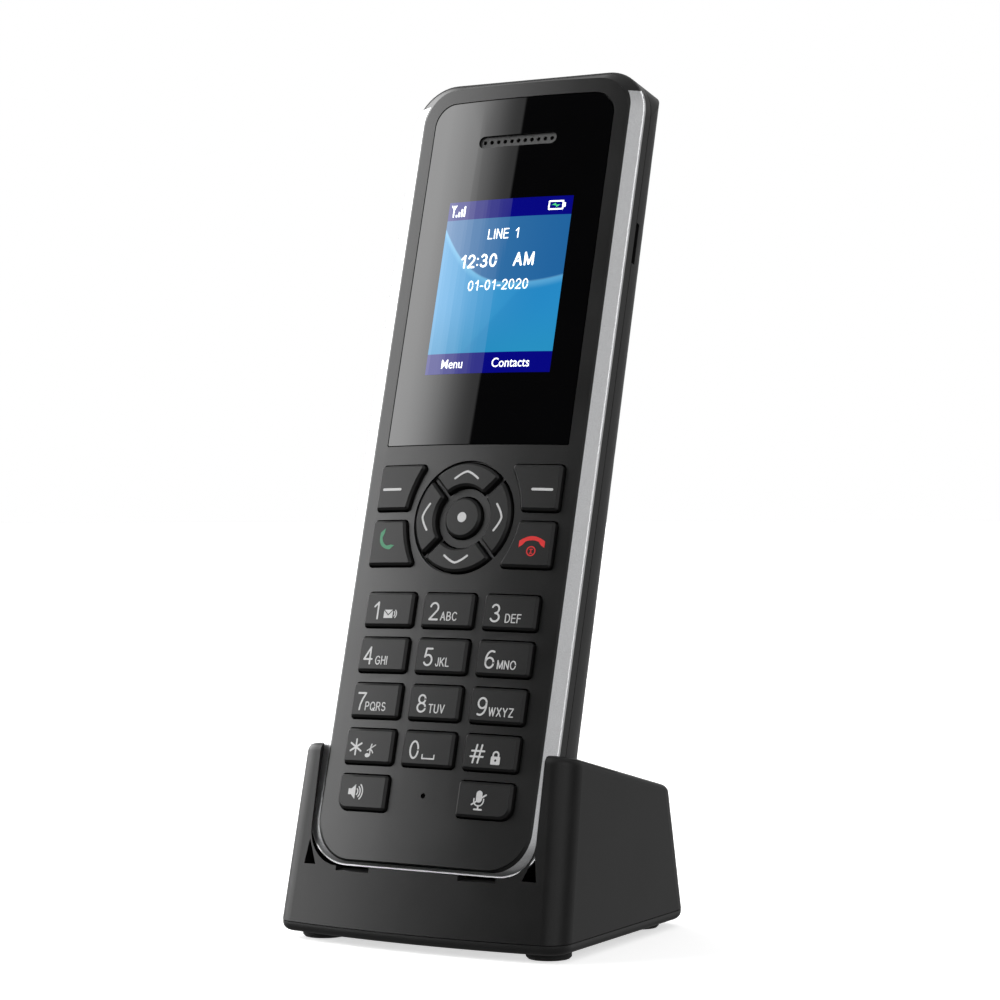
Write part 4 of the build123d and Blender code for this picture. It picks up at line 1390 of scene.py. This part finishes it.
# ---- Shells and inner parts --------------------------------------------------------------------
@dataclass
class HandsetShell:
    """The housings, the trim and the parts inside them."""

    face: FacePlane

    def build(self) -> None:
        """Dresses the handset's shells and inner parts."""
        dress(MouldedPlastic("front_satin", grey(0.007), 0.34, 0.24, 0.004, 0.38).make(),
              ["front_housing"])
        dress(MouldedPlastic("rear_texture", grey(0.010), 0.42, 0.30, 0.007, 0.3).make(),
              ["rear_housing", "battery_door"])
        dress(SatinPaint().make(), ["side_trim"])
        dress(MouldedPlastic("earpiece_strip", grey(0.02), 0.5, 0.2, 0.01).make(),
              ["earpiece_mesh"])
        dress(MouldedPlastic("panel_frame", grey(0.02), 0.35).make(), ["display_module"])
        dress(WovenScreen("speaker_cloth", self.face.across, self.face.up).make(),
              ["earpiece_speaker", "loudspeaker"])
        dress(MouldedPlastic("socket_black", grey(0.012), 0.4, 0.3, 0.006).make(),
              ["microphone", "headset_socket", "contact_block", "power_socket"])
        dress(BoardResist().make(), ["main_circuit_board", "cradle_circuit_board"])
        dress(TurnedMetal("gold_plate", (0.80, 0.60, 0.28), 0.22).make(),
              ["charge_pads", "charge_pin_left", "charge_pin_right", "antenna"])
        dress(TurnedMetal("nickel_spring", (0.60, 0.59, 0.57), 0.3).make(),
              ["battery_contacts"])
        dress(TurnedMetal("zinc_screw", (0.42, 0.42, 0.43), 0.34).make(),
              ["handset_screws", "cradle_screws"])
        low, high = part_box("battery_cells")
        span = self.face.extent("battery_cells")
        dress(CellSleeve("cell_sleeve", self.face.up, (low + high) / 2,
                         (span[1].y - span[0].y) / 2).make(), ["battery_cells"])


@dataclass
class Cradle:
    """The charging cradle's shells and feet."""

    def build(self) -> None:
        """Dresses the cradle."""
        dress(MouldedPlastic("cradle_satin", grey(0.008), 0.40, 0.26, 0.005, 0.26).make(),
              ["cradle_housing"])
        dress(MouldedPlastic("cradle_base", grey(0.007), 0.46, 0.28, 0.007).make(),
              ["cradle_bottom_cover"])
        dress(SoftRubber("foot_rubber", grey(0.012)).make(), ["cradle_feet"])


# ---- Studio ------------------------------------------------------------------------------------
# A height whose sine nothing reaches, for a patch of light that goes on past the zenith.
NO_UPPER_EDGE = 2.0


@dataclass(frozen=True)
class Softbox:
    """A tall patch of light in the studio, by bearing and height.

    A bearing is 0 straight in front of the handset's face and grows to its right, in degrees.

    Args:
        start: the bearing where it begins.
        full: the bearing where it is brightest.
        end: the bearing where it starts to fade.
        gone: the bearing where it is gone.
        strength: its brightness.
        low: the sine of its lower edge's height.
        high: the sine of its upper edge's height.
    """

    start: float
    full: float
    end: float
    gone: float
    strength: float
    low: float = -0.05
    high: float = 0.85


@dataclass
class Studio:
    """The camera, the pale floor and the soft light.

    Args:
        camera_place: where the camera is, in metres.
        camera_turn: its turn about each axis, in degrees.
        focal_length: its lens, in millimetres.
        sensor: its sensor's width, in millimetres.
        floor_radius: the floor's radius, in metres.
        softboxes: the patches of light. The last one sharpens the edge of the first.
        fill: how bright the rest of the studio is.
        ceiling: how bright it is overhead.
        ground: how bright it is below.
        fade: how far a patch's lower and upper edges fade, as a sine.
    """

    camera_place: Vector = field(default_factory=lambda: Vector((0.29044, -0.45796, 0.08509)))
    camera_turn: tuple[float, float, float] = (89.716, 0.125, 32.251)
    focal_length: float = 102.23
    sensor: float = 36.0
    floor_radius: float = 6.0
    softboxes: tuple[Softbox, ...] = (
        Softbox(-150.0, -90.0, -51.0, -37.9, 6.0),
        Softbox(6.0, 17.0, 58.0, 90.0, 1.25),
        Softbox(40.0, 62.0, 92.0, 104.0, 0.7),
        Softbox(100.0, 120.0, 170.0, 182.0, 0.5, -0.4, NO_UPPER_EDGE),
        Softbox(-182.0, -170.0, -130.0, -110.0, 0.6, -0.4, 0.95),
        Softbox(-60.0, -45.0, -37.9, -37.4, 0.75),
    )
    fill: float = 0.014
    ceiling: float = 0.55
    ground: float = 0.16
    fade: float = 0.2

    def build(self) -> None:
        """Sets up the whole studio."""
        self.add_camera()
        self.add_floor()
        self.add_light()

    def add_camera(self) -> None:
        """Adds the camera and makes it the scene's."""
        data = bpy.data.cameras.new("camera")
        data.lens = self.focal_length
        data.sensor_width = self.sensor
        data.clip_start = 0.01
        data.clip_end = 50.0
        camera = bpy.data.objects.new("camera", data)
        camera.location = self.camera_place
        camera.rotation_euler = [math.radians(angle) for angle in self.camera_turn]
        bpy.context.scene.collection.objects.link(camera)
        bpy.context.scene.camera = camera

    def add_floor(self) -> None:
        """Adds a pale round floor, and a pale dome that only the camera sees."""
        for name, build_mesh, colour, glow in (
                ("floor", self.floor_mesh, grey(0.80), 0.62),
                ("backdrop", self.dome_mesh, grey(0.0), 1.0)):
            material, shop = new_material(name)
            tone = shop.noise(400.0, 2.0)
            shade = shop.mixed(tone, colour, tuple(level * 0.985 for level in colour))
            shop.surface(Base_Color=shade, Roughness=0.9, Specular_IOR_Level=0.0,
                         Emission_Color=grey(1.0), Emission_Strength=glow)
            data = bpy.data.meshes.new(name)
            solid = build_mesh()
            solid.to_mesh(data)
            solid.free()
            data.materials.append(material)
            piece = bpy.data.objects.new(name, data)
            bpy.context.scene.collection.objects.link(piece)
            piece.visible_glossy = False
            piece.visible_diffuse = False
            piece.visible_shadow = False

    def floor_mesh(self) -> bmesh.types.BMesh:
        """A disc that the feet stand on."""
        mesh = bmesh.new()
        bmesh.ops.create_circle(mesh, cap_ends=True, segments=96, radius=self.floor_radius)
        for vertex in mesh.verts:
            vertex.co.z = CAD_BOX[0].z
        return mesh

    def dome_mesh(self) -> bmesh.types.BMesh:
        """A wide dome round the floor."""
        mesh = bmesh.new()
        bmesh.ops.create_icosphere(mesh, subdivisions=4, radius=self.floor_radius * 1.01)
        return mesh

    def add_light(self) -> None:
        """Lights the studio with soft patches and a weak even fill."""
        world = bpy.data.worlds.new("studio")
        world.use_nodes = True
        bpy.context.scene.world = world
        shop = NodeShop(world.node_tree)
        way = shop.node("ShaderNodeTexCoord").outputs["Generated"]
        parts = shop.node("ShaderNodeSeparateXYZ", None, {0: way})
        x, y, z = (Wire(shop, output) for output in parts.outputs)
        bearing = x.math("ARCTAN2", x, -y) * math.degrees(1.0)
        above, below = z.rise(0.75, 0.95), z.rise(-0.02, -0.3)
        total = self.fill + above * self.ceiling + below * self.ground
        for box in self.softboxes:
            sides = bearing.rise(box.start, box.full) * bearing.rise(box.gone, box.end)
            ends = z.rise(box.low, box.low + self.fade) * z.rise(box.high, box.high - self.fade)
            total = total + sides * ends * box.strength
        light = shop.node("ShaderNodeBackground", None, {"Color": grey(1.0), "Strength": total})
        shop.node("ShaderNodeOutputWorld", None, {"Surface": light.outputs[0]})
        scene = bpy.context.scene
        scene.view_settings.view_transform = "Standard"


def main() -> None:
    """Builds the looks of the whole object."""
    logging.basicConfig(level=logging.INFO, format="%(name)s: %(message)s")
    face = FacePlane.from_joint("handset_lift")
    for part in (Studio(), HandsetShell(face), Keypad(face), Display(face), Cradle()):
        part.build()
        log.info("built %s", type(part).__name__)


if __name__ == "__main__":
    main()
